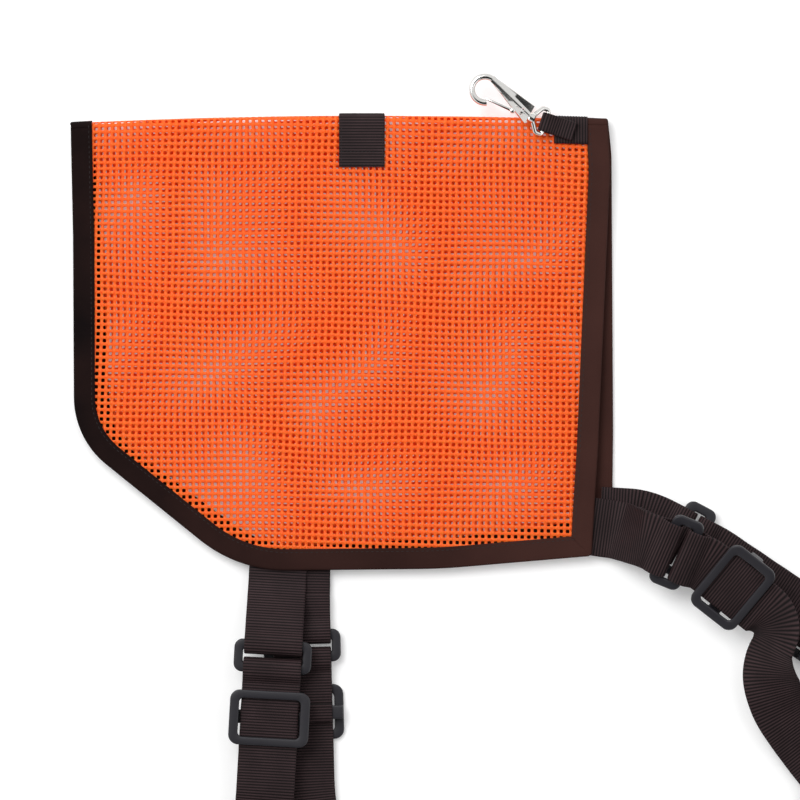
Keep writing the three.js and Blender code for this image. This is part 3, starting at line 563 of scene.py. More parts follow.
def carved(bm, cutters):
    """The bmesh with each cutter taken out of it."""
    holders = []
    for source in (bm, *cutters):
        mesh = bpy.data.meshes.new("carving")
        source.to_mesh(mesh)
        source.free()
        holder = bpy.data.objects.new("carving", mesh)
        bpy.context.scene.collection.objects.link(holder)
        holders.append(holder)
    for holder in holders[1:]:
        modifier = holders[0].modifiers.new("cut", "BOOLEAN")
        modifier.operation = "DIFFERENCE"
        modifier.solver = "EXACT"
        modifier.object = holder
    depsgraph = bpy.context.evaluated_depsgraph_get()
    made = bmesh.new()
    made.from_object(holders[0], depsgraph)
    for holder in holders:
        mesh = holder.data
        bpy.data.objects.remove(holder)
        bpy.data.meshes.remove(mesh)
    return made


# ---- Flaps ----
def inset_corners(corners, inset):
    """Corners moved in by a distance, with the edge past the spine left where it is."""
    lines = []
    for i, (x, y, _) in enumerate(corners):
        after = corners[(i + 1) % len(corners)]
        along = Vector((after[0] - x, after[1] - y)).normalized()
        shift = 0 if i == len(corners) - 1 else inset
        lines.append((Vector((x - along.y * shift, y + along.x * shift)), along))
    moved = []
    for i, (_, _, radius) in enumerate(corners):
        (a, along_a), (b, along_b) = lines[i - 1], lines[i]
        t = (b - a).cross(along_b) / along_a.cross(along_b)
        at = a + along_a * t
        moved.append((at.x, at.y, max(radius - inset, 0)))
    return moved


def on_far_flap(x, y):
    """A point of the near flap, turned to where the far flap has it."""
    pivot = Vector((FLAP_TURN_X, 0))
    at = pivot + Matrix.Rotation(FLAP_TURN, 2) @ (Vector((x, y)) - pivot)
    return at.x, at.y


def turned(corners):
    """Near flap corners, turned to where the far flap has them and cut at the same line past the spine."""
    spun = [(*on_far_flap(x, y), radius) for x, y, radius in corners]
    for end, inner in ((0, 1), (-1, -2)):
        x, y, radius = spun[end]
        inner_x, inner_y, _ = spun[inner]
        share = (QUARTER - inner_y) / (y - inner_y)
        spun[end] = (inner_x + (x - inner_x) * share, QUARTER, radius)
    return spun


FLAPS = {
    "far": {"corners": turned(FLAP_CORNERS), "side": -1, "body": "root"},
    "near": {"corners": list(FLAP_CORNERS), "side": 1, "body": "near_flap"},
}


def arched(point):
    """Lowers a point near the spine, which lies in a slight arch that is highest at the tab."""
    x, y, z = point
    left, right = (TAB_X - x) / TAB_X, (x - TAB_X) / (FLAP_LENGTH - TAB_X)
    drop = 5.0 * max(left, 0) ** 2 + 2.6 * max(right, 0) ** 2
    fade = min(1.0, max(0.0, (y + ARCH_DEPTH) / ARCH_DEPTH))
    return Vector((x, y - drop * fade * fade * (3 - 2 * fade), z))


def round_fold(point, side):
    """Carries a point that lies past the spine round the fold."""
    x, y, z = point
    if y <= 0:
        return arched(point)
    radius = abs(z - FOLD_Z)
    angle = y / FOLD_RADIUS
    return arched((x, radius * math.sin(angle), FOLD_Z + side * radius * math.cos(angle)))


def blend_over_fold(made):
    """Bakes a piece's placement into its mesh."""
    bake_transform(made)


def inside(x, y, polygon):
    """True if a point is inside a polygon."""
    found = False
    for a, b in zip(polygon, polygon[1:] + polygon[:1]):
        if (a.y > y) != (b.y > y) and x < a.x + (y - a.y) * (b.x - a.x) / (b.y - a.y):
            found = not found
    return found


def repeat(bm, count, step):
    """Copies what is in a bmesh along a step."""
    source = bm.verts[:] + bm.edges[:] + bm.faces[:]
    for k in range(1, count):
        made = bmesh.ops.duplicate(bm, geom=source)["geom"]
        bmesh.ops.translate(bm, vec=Vector(step) * k, verts=[g for g in made if isinstance(g, bmesh.types.BMVert)])


def mesh_tile(bm, pitch, hole):
    """One crossing of the mesh with the strands to its right and above it; the holes between are squares with cut corners."""
    strand = (pitch - hole) / 2
    corner = pitch / 2 - hole / 2 * 0.62
    ring = [(corner, -strand), (corner, strand), (strand, corner), (-strand, corner),
            (-corner, strand), (-corner, -strand), (-strand, -corner), (strand, -corner)]
    verts = [bm.verts.new((x, y, 0)) for x, y in ring]
    bm.faces.new(verts)
    for pair, step in ((verts[0:2], (pitch - 2 * corner, 0, 0)), (verts[2:4], (0, pitch - 2 * corner, 0))):
        edge = bm.edges.get(pair)
        made = bmesh.ops.extrude_edge_only(bm, edges=[edge])["geom"]
        bmesh.ops.translate(bm, vec=step, verts=[g for g in made if isinstance(g, bmesh.types.BMVert)])


def mesh_panel(which, sizes):
    """One flap's half of the open mesh, with its share of the fold."""
    flap = FLAPS[which]
    side = flap["side"]
    pitch, hole = sizes.mesh_pitch / MM, sizes.hole_size / MM
    across, down = 94, 76
    bm = bmesh.new()
    mesh_tile(bm, pitch, hole)
    repeat(bm, across, (pitch, 0, 0))
    repeat(bm, down, (0, -pitch, 0))
    bmesh.ops.remove_doubles(bm, verts=bm.verts, dist=0.02)
    bmesh.ops.translate(bm, vec=(-4 * pitch, 3 * pitch, 0), verts=bm.verts)
    slant = Matrix.Rotation(-side * FLAP_TURN / 2, 4, "Z")
    bmesh.ops.rotate(bm, cent=(FLAP_TURN_X + 80, 0, 0), matrix=slant, verts=bm.verts)
    bmesh.ops.translate(bm, vec=(0, QUARTER, 0), verts=bm.verts)
    bmesh.ops.bisect_plane(bm, geom=bm.verts[:] + bm.edges[:] + bm.faces[:], plane_co=(0, QUARTER, 0),
                           plane_no=(0, 1, 0), clear_outer=True)
    hidden = rounded(inset_corners(flap["corners"], BINDING_WIDTH - 5.0))
    gone = [f for f in bm.faces if not inside(f.calc_center_median().x, f.calc_center_median().y, hidden)]
    bmesh.ops.delete(bm, geom=gone, context="FACES")
    bmesh.ops.recalc_face_normals(bm, faces=bm.faces)
    if bm.faces[:][0].normal.z < 0:
        bmesh.ops.reverse_faces(bm, faces=bm.faces)
    bmesh.ops.solidify(bm, geom=bm.faces[:], thickness=SHEET)
    bmesh.ops.recalc_face_normals(bm, faces=bm.faces)
    low = min(v.co.z for v in bm.verts)
    level = FOLD_Z + side * FOLD_RADIUS - SHEET / 2
    for vert in bm.verts:
        x, y, z = vert.co
        fade = min(1.0, max(0.0, -y / 30))
        ripple = 0.28 * fade * noise.noise(Vector((x / 42, y / 42, side * 7.3)))
        drawn = fade * MESH_DRAW
        x += drawn * noise.noise(Vector((x / 70, y / 70, side * 2.1)))
        y += drawn * noise.noise(Vector((x / 70, y / 70, side * 5.7)))
        vert.co = round_fold((x, y, level + z - low + ripple), side)
    made = piece(bm, f"{which}_mesh", "orange_coating", replaces=[f"{which}_mesh_panel"])
    blend_over_fold(made)
    return made


def outline_rows(corners, inset, spacing=2.5):
    """Points along an outline moved in by a distance, as many at any distance, from rear to neck."""
    moved = inset_corners(corners, inset)
    points = []
    count = len(corners)
    ends = []
    for source in (corners, moved):
        arcs = []
        for i, (x, y, radius) in enumerate(source):
            at = Vector((x, y))
            if i in (0, count - 1):
                arcs.append([at])
                continue
            back = (Vector(source[i - 1][:2]) - at).normalized()
            on = (Vector(source[(i + 1) % count][:2]) - at).normalized()
            half = back.angle(on) / 2
            radius = max(radius, 0.02)
            middle = at + (back + on).normalized() * (radius / math.sin(half))
            start = at + back * (radius / math.tan(half)) - middle
            end = at + on * (radius / math.tan(half)) - middle
            sweep = math.atan2(start.x * end.y - start.y * end.x, start.dot(end))
            steps = max(4, math.ceil(abs(sweep) * max(corners[i][2], 8) / spacing))
            arcs.append([middle + Matrix.Rotation(sweep * k / steps, 2) @ start for k in range(steps + 1)])
        ends.append(arcs)
    for i, arc in enumerate(ends[1]):
        if i:
            steps = max(1, round((ends[0][i][0] - ends[0][i - 1][-1]).length / spacing))
            last = ends[1][i - 1][-1]
            points += [last.lerp(arc[0], k / steps) for k in range(1, steps)]
        points += arc
    return points


def binding_profile(low, high):
    """The folded tape's section: how far each point is in from the edge, and its height."""
    middle = (low + high) / 2
    radius = (high - low) / 2
    outside, lining = [], []
    for k in range(7):
        angle = math.pi / 2 - math.pi * k / 6
        outside.append((radius - radius * math.cos(angle), middle + radius * math.sin(angle)))
        inner = radius - TAPE
        lining.append((radius - inner * math.cos(angle), middle + inner * math.sin(angle)))
    flats = (BINDING_WIDTH, BINDING_WIDTH - 0.9, BINDING_WIDTH - 2.0, BINDING_WIDTH - 3.2, 7, 3.5)
    top = [(d, high) for d in flats]
    bottom = [(d, low) for d in reversed(flats)]
    return top + outside + bottom + [(BINDING_WIDTH, low + TAPE)] + lining[::-1] + [(BINDING_WIDTH, high - TAPE)]


def pucker(distance, inset, seed):
    """How far the tape's free edge rises and shifts where the thread draws it in."""
    share = max(0.0, (inset - 5) / (BINDING_WIDTH - 5))
    waves = noise.noise(Vector((distance / 7, inset / 30, seed))) + 0.5 * math.sin(distance * 2 * math.pi / 6.6)
    return share * 0.16 * waves


def binding(which):
    """The tape round one flap, in one piece, and its two ends that follow the fold."""
    flap = FLAPS[which]
    side = flap["side"]
    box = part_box(f"{which}_binding")
    profile = binding_profile(box[0].z / MM, box[1].z / MM)
    loops = []
    stitch_line = []
    edge = outline_rows(flap["corners"], 0)
    travelled = [0.0]
    for a, b in zip(edge, edge[1:]):
        travelled.append(travelled[-1] + (b - a).length)
    for inset, z in profile:
        row = []
        for point, s in zip(outline_rows(flap["corners"], inset), travelled):
            lift = pucker(s, inset, 3.1 * side)
            inward = (1 if z > FOLD_Z + side * FOLD_RADIUS else -1) * lift
            row.append((point.x, point.y, z + inward))
        loops.append(row)
    rows = [list(row) for row in zip(*loops)]
    main = [i for i, row in enumerate(rows) if edge[i].y <= 0]
    first, last = main[0], main[-1]
    marks = [[(inset * MM, s * MM) for inset, _ in profile] for s in travelled]

    def part(name, section, uv, body=None):
        bm = bmesh.new()
        loft(bm, [[round_fold(p, side) for p in row] for row in section], marks=uv)
        bmesh.ops.recalc_face_normals(bm, faces=bm.faces)
        return piece(bm, name, "tape_with_flare_and_wear", body=body)

    def to_spine(i, j):
        """The row between two rows that lies on the spine line."""
        share = edge[i].y / (edge[i].y - edge[j].y)
        return [Vector(a).lerp(Vector(b), share) for a, b in zip(rows[i], rows[j])]

    at_rear, at_neck = to_spine(first - 1, first), to_spine(last + 1, last)
    body_rows = [at_rear, *rows[first:last + 1], at_neck]
    body_marks = [marks[first], *marks[first:last + 1], marks[last]]
    made = part(f"{which}_binding_tape", body_rows, body_marks, flap["body"])
    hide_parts(f"{which}_binding")
    for name, tip, seam in (("rear", rows[0], at_rear), ("neck", rows[-1], at_neck)):
        steps = 6
        section = [[Vector(a).lerp(Vector(b), k / steps) for a, b in zip(seam, tip)] for k in range(steps + 1)]
        fold = part(f"{which}_{name}_binding_fold", section, [marks[0]] * (steps + 1))
        blend_over_fold(fold)
    top, low = box[1].z / MM, box[0].z / MM
    for point, s in zip(outline_rows(flap["corners"], BINDING_WIDTH - 2.2), travelled):
        if point.y < -1:
            stitch_line.append((point, s))
    return stitch_line, top, low


def sew(bm, path, ups, pitch, width=0.55, length=0.72, height=0.24):
    """Stitches along a path of points; `ups` are the directions that the cloth faces there."""
    travelled = [0.0]
    for a, b in zip(path, path[1:]):
        travelled.append(travelled[-1] + (b - a).length)
    i = 0
    count = int(travelled[-1] // pitch)
    for k in range(count):
        s = (k + 0.5) * pitch
        while travelled[i + 1] < s:
            i += 1
        share = (s - travelled[i]) / max(travelled[i + 1] - travelled[i], 1e-9)
        at = path[i].lerp(path[i + 1], share)
        along = (path[i + 1] - path[i]).normalized()
        up = ups[i]
        across = up.cross(along).normalized()
        turn = Matrix((along, across, along.cross(across))).transposed().to_4x4()
        size = Matrix.Diagonal((pitch * length / 2, width / 2, height, 1))
        bmesh.ops.create_uvsphere(bm, u_segments=6, v_segments=4, radius=1,
                                  matrix=Matrix.Translation(at) @ turn @ size)


# ---- Webbing ----
def section(width, thickness):
    """Points round a strap's section, with soft selvages, from one edge over the top and back underneath."""
    half, t = width / 2, thickness / 2
    top = [(half - 0.35, t * 0.88), (half - 1.3, t), (half / 2, t), (0, t), (-half / 2, t),
           (1.3 - half, t), (0.35 - half, t * 0.88)]
    return top + [(-half, 0)] + [(y, -z) for y, z in reversed(top)] + [(half, 0)]


def resampled(stations, step):
    """Stations (at, across) a step apart along their line, with its corners eased."""
    points = [s[0].copy() for s in stations]
    lengths = [0.0]
    for a, b in zip(points, points[1:]):
        lengths.append(lengths[-1] + (b - a).length)
    count = max(2, round(lengths[-1] / step))
    made = []
    i = 0
    for k in range(count + 1):
        s = min(lengths[-1] * k / count, lengths[-1] - 1e-6)
        while lengths[i + 1] < s:
            i += 1
        share = (s - lengths[i]) / max(lengths[i + 1] - lengths[i], 1e-9)
        made.append([points[i].lerp(points[i + 1], share), stations[i][1].lerp(stations[i + 1][1], share).normalized()])
    for _ in range(2):
        eased = [m[0] for m in made]
        for k in range(1, len(made) - 1):
            eased[k] = (made[k - 1][0] + made[k][0] * 2 + made[k + 1][0]) / 4
        for m, at in zip(made, eased):
            m[0] = at
    return made


def web(bm, stations, width, thickness, sizes, start=0.0):
    """A ribbed strap along stations. Each rib is a pair of rings, one high and one low."""
    pitch, rib = sizes.rib_pitch / MM, sizes.rib_height / MM
    line = resampled(stations, pitch / 2)
    outline = section(width, thickness)
    rows, marks = [], []
    for k, (at, across) in enumerate(line):
        before, after = line[max(k - 1, 0)][0], line[min(k + 1, len(line) - 1)][0]
        along = (after - before).normalized()
        up = along.cross(across).normalized()
        swell = 1 + (rib / thickness) * (1 if k % 2 == 0 else -1)
        wobble = 0.12 * noise.noise(Vector((start + k * 0.09, width, 0)))
        rows.append([at + across * (y + wobble) + up * (z * swell) for y, z in outline])
        v = (start + k * pitch / 2) * MM
        marks.append([(y * MM, v) for y, _ in outline])
    loft(bm, rows, marks=marks)
    bmesh.ops.recalc_face_normals(bm, faces=bm.faces)
    return line


def fold_path(reach, radius, steps=10):
    """Middle points (y, z) over the spine, from the near side to the far one."""
    near = [(-reach + reach * k / 6, FOLD_Z + radius) for k in range(6)]
    arc = [(radius * math.sin(a), FOLD_Z + radius * math.cos(a)) for a in
           (math.pi * k / steps for k in range(steps + 1))]
    far = [(y, FOLD_Z - radius) for y, _ in reversed(near)]
    return near + arc + far


class Course:
    """A strap's middle line: legs of (length, heading, pitch, roll), each turning evenly to its end values."""

    def __init__(self, start, heading, legs):
        at = Vector((*start, FOLD_Z))
        now = [heading, 0.0, 0.0]
        self.frames = [self.bearing(at, now)]
        self.travelled = [0.0]
        for length, *goal in legs:
            origin = now
            steps = max(1, round(length / 0.5))
            for k in range(1, steps + 1):
                at = at + self.frames[-1][1] * (length / steps)
                now = [a + (b - a) * k / steps for a, b in zip(origin, goal)]
                self.travelled.append(self.travelled[-1] + length / steps)
                self.frames.append(self.bearing(at, now))

    @staticmethod
    def bearing(at, now):
        """The place, and the directions along, across and up."""
        h, p, r = map(math.radians, now)
        along = Vector((math.cos(h) * math.cos(p), math.sin(h) * math.cos(p), math.sin(p)))
        level = Vector((-math.sin(h), math.cos(h), 0))
        up = along.cross(level)
        across = level * math.cos(r) + up * math.sin(r)
        return at.copy(), along, across, along.cross(across)

    def frame(self, s):
        i = 0
        low, high = 0, len(self.travelled) - 2
        while low < high:
            i = (low + high + 1) // 2
            if self.travelled[i] <= s:
                low = i
            else:
                high = i - 1
        i = low
        share = (s - self.travelled[i]) / (self.travelled[i + 1] - self.travelled[i])
        return [a.lerp(b, share) if n == 0 else a.lerp(b, share).normalized()
                for n, (a, b) in enumerate(zip(self.frames[i], self.frames[i + 1]))]

    def place(self, s, side):
        """The matrix of a rigid piece on the strap."""
        at, along, across, up = self.frame(s)
        turn = Matrix((along, across * side, up * side)).transposed().to_4x4()
        return Matrix.Translation(at) @ turn


def loop_round(bar_width):
    """A web's fold round a flat bar, roomy enough for the bar to turn in it."""
    room = (bar_width / 2 - RING_THICKNESS / 2) * math.sin(BAR_TURN) + RING_THICKNESS / 2 + BAR_PLAY
    return {"middle": room + WEB_THICKNESS / 2, "outside": room + WEB_THICKNESS,
            "offset": bar_width / 2 + BAR_PLAY - room, "flat": bar_width / 2 + 1}


RING_LOOP = loop_round(RING_BAR)
BUCKLE_LOOP = loop_round(BUCKLE_BAR)
LOOP_TAPER = 9
SLOT_FILL = 1.3
BAR_SPACING = RING_HEIGHT - RING_BAR
GLIDE_LOW = LAYER + WEB_THICKNESS / 2 + GAP
WEB_END_MIDDLE = GLIDE_CENTRE_THICKNESS / 2 + GAP + WEB_THICKNESS / 2
CENTRE_MIDDLE = LAYER - WEB_THICKNESS - GAP - WEB_END_MIDDLE
GLIDE_UNDER = WEB_END_MIDDLE + WEB_THICKNESS / 2 - CENTRE_MIDDLE
CENTRE_HALF = GLIDE_CENTRE_BAR / 2 - GLIDE_CENTRE_THICKNESS / 2 + GAP
BAR_TO_BODY = BUCKLE_BAR / 2 + BUCKLE_LOOP["outside"] + 1
NEAR_RISE = 2 * max(RING_LOOP["outside"], GLIDE_UNDER) + 0.5
CHEST_ROLL = 20
CHEST_RISE = NEAR_RISE + RING_LENGTH / 2 * math.sin(math.radians(CHEST_ROLL))
RING_LEAD = 10
RUN_TURN = 5
STRAIGHT_MARGIN = 2
WEB_END_LENGTH = 7
SEWN_END = 10


def climb(length, rise, heading, roll, start):
    """Legs that climb over a length, turning to a heading and a roll on the way."""
    ease = 8
    pitch = math.degrees(math.asin(rise / (length - ease)))
    return [(ease, (start + heading) / 2, pitch, 0), (length - 2 * ease, heading, pitch, roll),
            (ease, heading, 0, roll)]


# Each strap: its flap, where it starts under the hem, its legs to the ring, the heading of its straight run,
# how far its tri-glide sits beyond the ring and can slide down, and its last legs.
STRAPS = {
    "far_belly": {
        "flap": "far", "start": (139.8, 10.8 - FLAP_DEPTH), "heading": -91.5, "run": -88.5,
        "lead": [(14, -91.5, 0, 0), (30, -88.5, 0, 0)], "glide": 36.2, "down": 22,
        "tail": [(52, -72, 0, 0), (20, -72, 0, 0)],
    },
    "near_belly": {
        "flap": "near", "start": (138.7, 13.3 - FLAP_DEPTH), "heading": -93.2, "run": -93.2,
        "lead": [(18.2, -93.2, 0, 0), *climb(36, NEAR_RISE, -93.2, 0, -93.2)], "glide": 32.7, "down": 25,
        "tail": [(10, -95, -13, 0), (44, -107, -13, 0), (16, -107, 0, 0)],
    },
    "far_chest": {
        "flap": "far", "start": (FLAP_LENGTH - 16, 25 - FLAP_DEPTH), "heading": -3, "run": -34,
        "lead": [(17, -3, 0, 0), (15, -20, 0, 0), (10, -28, 0, 0)], "glide": 100, "down": 8,
        "tail": [(16, -36, 0, 0)],
    },
    "near_chest": {
        "flap": "near", "start": (FLAP_LENGTH - 17.1, 30.3 - FLAP_DEPTH), "heading": -8, "run": -38,
        "lead": [(21, -8, 0, 0), *climb(36, CHEST_RISE, -22, CHEST_ROLL, -8)], "glide": 36, "down": 5,
        "tail": [(26, -110, -10, 50), (26, -75, -15, 20), (30, -55, -15, 0), (46, -50, 0, 0)],
    },
}


def lay_out(name):
    """The course of a strap and the distances along it of its bars, its tri-glide and its end."""
    strap = STRAPS[name]
    side = FLAPS[strap["flap"]]["side"]
    start = strap["start"] if side > 0 else on_far_flap(*strap["start"])
    _, ring_heading, _, roll = strap["lead"][-1]
    first_bar = sum(leg[0] for leg in strap["lead"]) + RING_LEAD
    second_bar = first_bar + BAR_SPACING
    after_ring = second_bar + LOOP_TAPER + 1
    glide_at = second_bar + strap["glide"]
    straight = glide_at + GLIDE_HEIGHT / 2 + strap["down"] + STRAIGHT_MARGIN
    course = Course(start, strap["heading"], [
        *strap["lead"],
        (RING_LEAD + BAR_SPACING + LOOP_TAPER + 1, ring_heading, 0, roll),
        (RUN_TURN, strap["run"], 0, roll),
        (straight - after_ring - RUN_TURN, strap["run"], 0, roll),
        *strap["tail"],
        (30, *strap["tail"][-1][1:]),
    ])
    end = straight + sum(leg[0] for leg in strap["tail"])
    return {"course": course, "side": side, "first": first_bar, "second": second_bar, "glide": glide_at,
            "end": end, "body": FLAPS[strap["flap"]]["body"]}


LAYOUTS = {name: lay_out(name) for name in STRAPS}


def run(start, end, z, step=4.0):
    """Points (s, z) at one height."""
    steps = max(1, round(abs(end - start) / step))
    return [(start + (end - start) * k / steps, z) for k in range(steps + 1)]


def bight(s, z, way, start=0.0, end=1.0, steps=12):
    """Points half round a bar, or part of the way, from height z to -z; `way` is the side it bulges to."""
    return [(s + way * abs(z) * math.sin(math.pi * t), z * math.cos(math.pi * t))
            for t in (start + (end - start) * k / steps for k in range(1, steps))]


def on_course(layout, points):
    """Stations on a strap's course from points (s, z)."""
    stations = []
    for s, z in points:
        at, _, across, up = layout["course"].frame(s)
        stations.append((at + up * (z * layout["side"]), across))
    return stations


def anchor_web(name, layout, sizes):
    """The short web that is sewn under the hem and folded round the ring's first bar."""
    bar = layout["first"]
    loop = RING_LOOP
    reach = loop["offset"] + SLOT_FILL
    points = [
        *run(0, bar - LOOP_TAPER, LAYER),
        *run(bar - loop["flat"], bar + reach, loop["middle"]),
        *bight(bar + reach, loop["middle"], 1),
        *run(bar + reach, bar - loop["flat"], -loop["middle"]),
        *run(bar - LOOP_TAPER, bar - ANCHOR_RETURN, -LAYER),
    ]
    bm = bmesh.new()
    web(bm, on_course(layout, points), WEB_WIDTH, WEB_THICKNESS, sizes)
    return piece(bm, f"{name}_anchor", "ribbed_webbing", body=layout["body"],
                 replaces=[f"{name}_anchor_web"])


def running_web(name, layout, sizes):
    """The long web from the ring's second bar to the buckle, and its second layer that ends on the tri-glide."""
    bar, end, glide = layout["second"], layout["end"], layout["glide"]
    loop, last = RING_LOOP, BUCKLE_LOOP
    reach = loop["offset"] + SLOT_FILL
    points = [
        *bight(bar - reach, -loop["middle"], -1, start=0.5),
        *run(bar - reach, bar + loop["flat"], loop["middle"]),
        *run(bar + LOOP_TAPER, end - LOOP_TAPER, LAYER),
        *run(end - last["flat"], end + last["offset"], last["middle"]),
        *bight(end + last["offset"], last["middle"], 1),
        *run(end + last["offset"], end - last["flat"], -last["middle"]),
        *run(end - LOOP_TAPER, end - LOOP_TAPER - SEWN_END, -LAYER),
    ]
    bm = bmesh.new()
    web(bm, on_course(layout, points), WEB_WIDTH, WEB_THICKNESS, sizes, start=40)
    piece(bm, f"{name}_strap", "ribbed_webbing", body=f"{name}_running_web",
          replaces=[f"{name}_running_web"])
    centre = CENTRE_MIDDLE
    points = [
        *reversed(bight(bar - reach, -loop["middle"], -1, end=0.5)),
        *run(bar - reach, bar + loop["flat"], -loop["middle"]),
        *run(bar + LOOP_TAPER, glide + CENTRE_HALF, centre + WEB_END_MIDDLE),
        *[(s, centre + z) for s, z in bight(glide + CENTRE_HALF, WEB_END_MIDDLE, 1)],
        *run(glide + CENTRE_HALF, glide - CENTRE_HALF - 2, centre - WEB_END_MIDDLE),
    ]
    bm = bmesh.new()
    web(bm, on_course(layout, points), WEB_WIDTH - 0.4, WEB_THICKNESS, sizes, start=90)
    made = piece(bm, f"{name}_second_layer", "ribbed_webbing", replaces=[f"{name}_web_end"])
    start = layout["course"].frame(bar + LOOP_TAPER)[0]
    stop = layout["course"].frame(glide - CENTRE_HALF - WEB_END_LENGTH)[0]
    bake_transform(made)


def rectangular_ring(name, layout):
    """A moulded ring with two broad bars and one slot."""
    outer = oblong(RING_HEIGHT, RING_LENGTH, 5.5)
    inner = oblong(RING_HEIGHT - 2 * RING_BAR, RING_SLOT, 1.4)
    bm = prism(outer, -RING_THICKNESS / 2, RING_THICKNESS / 2, window=inner)
    soften(bm, 1.15, segments=4)
    matrix = layout["course"].place((layout["first"] + layout["second"]) / 2, layout["side"])
    bmesh.ops.transform(bm, matrix=matrix, verts=bm.verts)
    made = piece(bm, f"{name}_loop_ring", "moulded_plastic", body=f"{name}_ring",
                 replaces=[f"{name}_ring"])
    return sharp_smooth(made)


def tri_glide(name, layout):
    """A moulded adjuster: a frame with round corners and a centre bar that is set lower."""
    top = GLIDE_LOW + GLIDE_FRAME_THICKNESS
    window = oblong(GLIDE_HEIGHT - 2 * GLIDE_BAR, GLIDE_WINDOW, 3)
    bm = prism(oblong(GLIDE_HEIGHT, GLIDE_LENGTH, 6.5), GLIDE_LOW, top, window=window)
    soften(bm, 0.95, segments=4)
    for y in (-1, 1):
        middle = y * (GLIDE_WINDOW + GLIDE_SIDE) / 2
        block = prism([(p.x, p.y + middle) for p in oblong(GLIDE_CENTRE_BAR, GLIDE_SIDE - 1, 1.2)],
                      CENTRE_MIDDLE - 0.6, top - 0.6)
        soften(block, 0.4, segments=2)
        absorb(bm, block)
    round_bar(bm, 0, GLIDE_CENTRE_BAR, GLIDE_LENGTH - 2, CENTRE_MIDDLE, GLIDE_CENTRE_THICKNESS)
    bmesh.ops.transform(bm, matrix=layout["course"].place(layout["glide"], layout["side"]), verts=bm.verts)
    bmesh.ops.recalc_face_normals(bm, faces=bm.faces)
    made = piece(bm, f"{name}_adjuster", "moulded_plastic", body=f"{name}_tri_glide",
                 replaces=[f"{name}_tri_glide"])
    return sharp_smooth(made)


def buckle_yoke(bm):
    """The web's bar and the two arms that carry it."""
    round_bar(bm, 0, BUCKLE_BAR, BUCKLE_WIDTH - 2, 0, RING_THICKNESS)
    reach = BAR_TO_BODY + 2 + BUCKLE_BAR / 2
    for y in (-1, 1):
        middle = y * (BUCKLE_WIDTH - YOKE_ARM) / 2
        arm = prism([(p.x, p.y + middle) for p in
                     oblong(reach, YOKE_ARM, 1.2, middle=reach / 2 - BUCKLE_BAR / 2)], -2.2, 2.2)
        absorb(bm, soften(arm, 0.7, segments=3))


def female_buckle():
    """A housing with a mouth for the prongs and a window in each side."""
    half = BUCKLE_THICKNESS / 2
    wall = half - SOCKET_WALL
    bm = prism(oblong(BUCKLE_BODY, BUCKLE_WIDTH, 5, middle=BAR_TO_BODY + BUCKLE_BODY / 2), -half, half)
    soften(bm, 1.6, segments=4)
    mouth_start = BAR_TO_BODY + 2 * SOCKET_WALL
    mouth_end = BAR_TO_BODY + BUCKLE_BODY + 1
    across = PRONG_SPREAD / 2 + 1.5
    mouth = prism([(mouth_start, -across), (mouth_end, -across), (mouth_end, across), (mouth_start, across)],
                  -wall, wall)
    side = oblong(12, 2 * BUCKLE_WIDTH, 3, middle=BAR_TO_BODY + 14)
    bm = carved(bm, [mouth, prism(side, -wall, wall)])
    buckle_yoke(bm)
    return bm


def male_buckle():
    """A base with two springy prongs."""
    half = BUCKLE_THICKNESS / 2 - SOCKET_WALL - GAP
    bm = prism(oblong(PRONG_BASE, BUCKLE_WIDTH, 3, middle=BAR_TO_BODY + PRONG_BASE / 2), -half, half)
    soften(bm, 1.0, segments=3)
    root = BAR_TO_BODY + PRONG_BASE - 1
    tip = BAR_TO_BODY + PRONG_BASE + BUCKLE_BODY - 2 * SOCKET_WALL - 2
    barb = tip - 11
    outside = PRONG_SPREAD / 2
    for side in (-1, 1):
        outline = rounded([
            (root, side * (outside - PRONG_WIDTH), 0), (tip, side * (outside - PRONG_WIDTH), 1),
            (tip, side * (outside - 2), 1.5), (barb, side * (outside + 1), 1.5),
            (barb, side * (outside - 2), 0.5), (root, side * (outside - 1), 0),
        ], step=0.3)
        absorb(bm, soften(prism(outline, -half, half), 0.6, segments=2))
    buckle_yoke(bm)
    return bm


def buckle(name, layout):
    bm = female_buckle() if layout["side"] > 0 else male_buckle()
    bmesh.ops.transform(bm, matrix=layout["course"].place(layout["end"], layout["side"]), verts=bm.verts)
    bmesh.ops.recalc_face_normals(bm, faces=bm.faces)
    made = piece(bm, f"{name}_clip", "moulded_plastic", body=f"{name}_buckle",
                 replaces=[f"{name}_buckle"])
    return sharp_smooth(made)


# ---- Spine trim ----
def spine_tab(sizes):
    """The piece of webbing that is folded over the middle of the spine."""
    across = Vector((1, 0, 0))
    stations = [(arched((TAB_X, y, z)), across) for y, z in fold_path(TAB_LENGTH, TRIM_MIDDLE)]
    bm = bmesh.new()
    web(bm, stations, TAB_WIDTH, TRIM_THICKNESS, sizes)
    made = piece(bm, "spine_tab", "ribbed_webbing", replaces=["near_tab", "far_tab"])
    blend_over_fold(made)
    stitch = sizes.stitch_pitch / MM
    for which, flap in FLAPS.items():
        side = flap["side"]
        level = FOLD_Z + side * (TRIM_MIDDLE + TRIM_THICKNESS / 2 + 0.05)
        half = TAB_WIDTH / 2 - 1.6
        bottom = 1.8 - TAB_LENGTH
        bm = bmesh.new()
        for corners in (((-half, -4), (-half, bottom), (half, bottom), (half, -4)),
                        ((-half, bottom + 8), (half, bottom + 8))):
            for (x1, y1), (x2, y2) in zip(corners, corners[1:]):
                ends = [arched((TAB_X + x1, y1, level)), arched((TAB_X + x2, y2, level))]
                sew(bm, ends, [Vector((0, 0, side))] * 2, stitch * 0.75)
        piece(bm, f"{which}_tab_stitches", "thread", body=flap["body"])
    return made


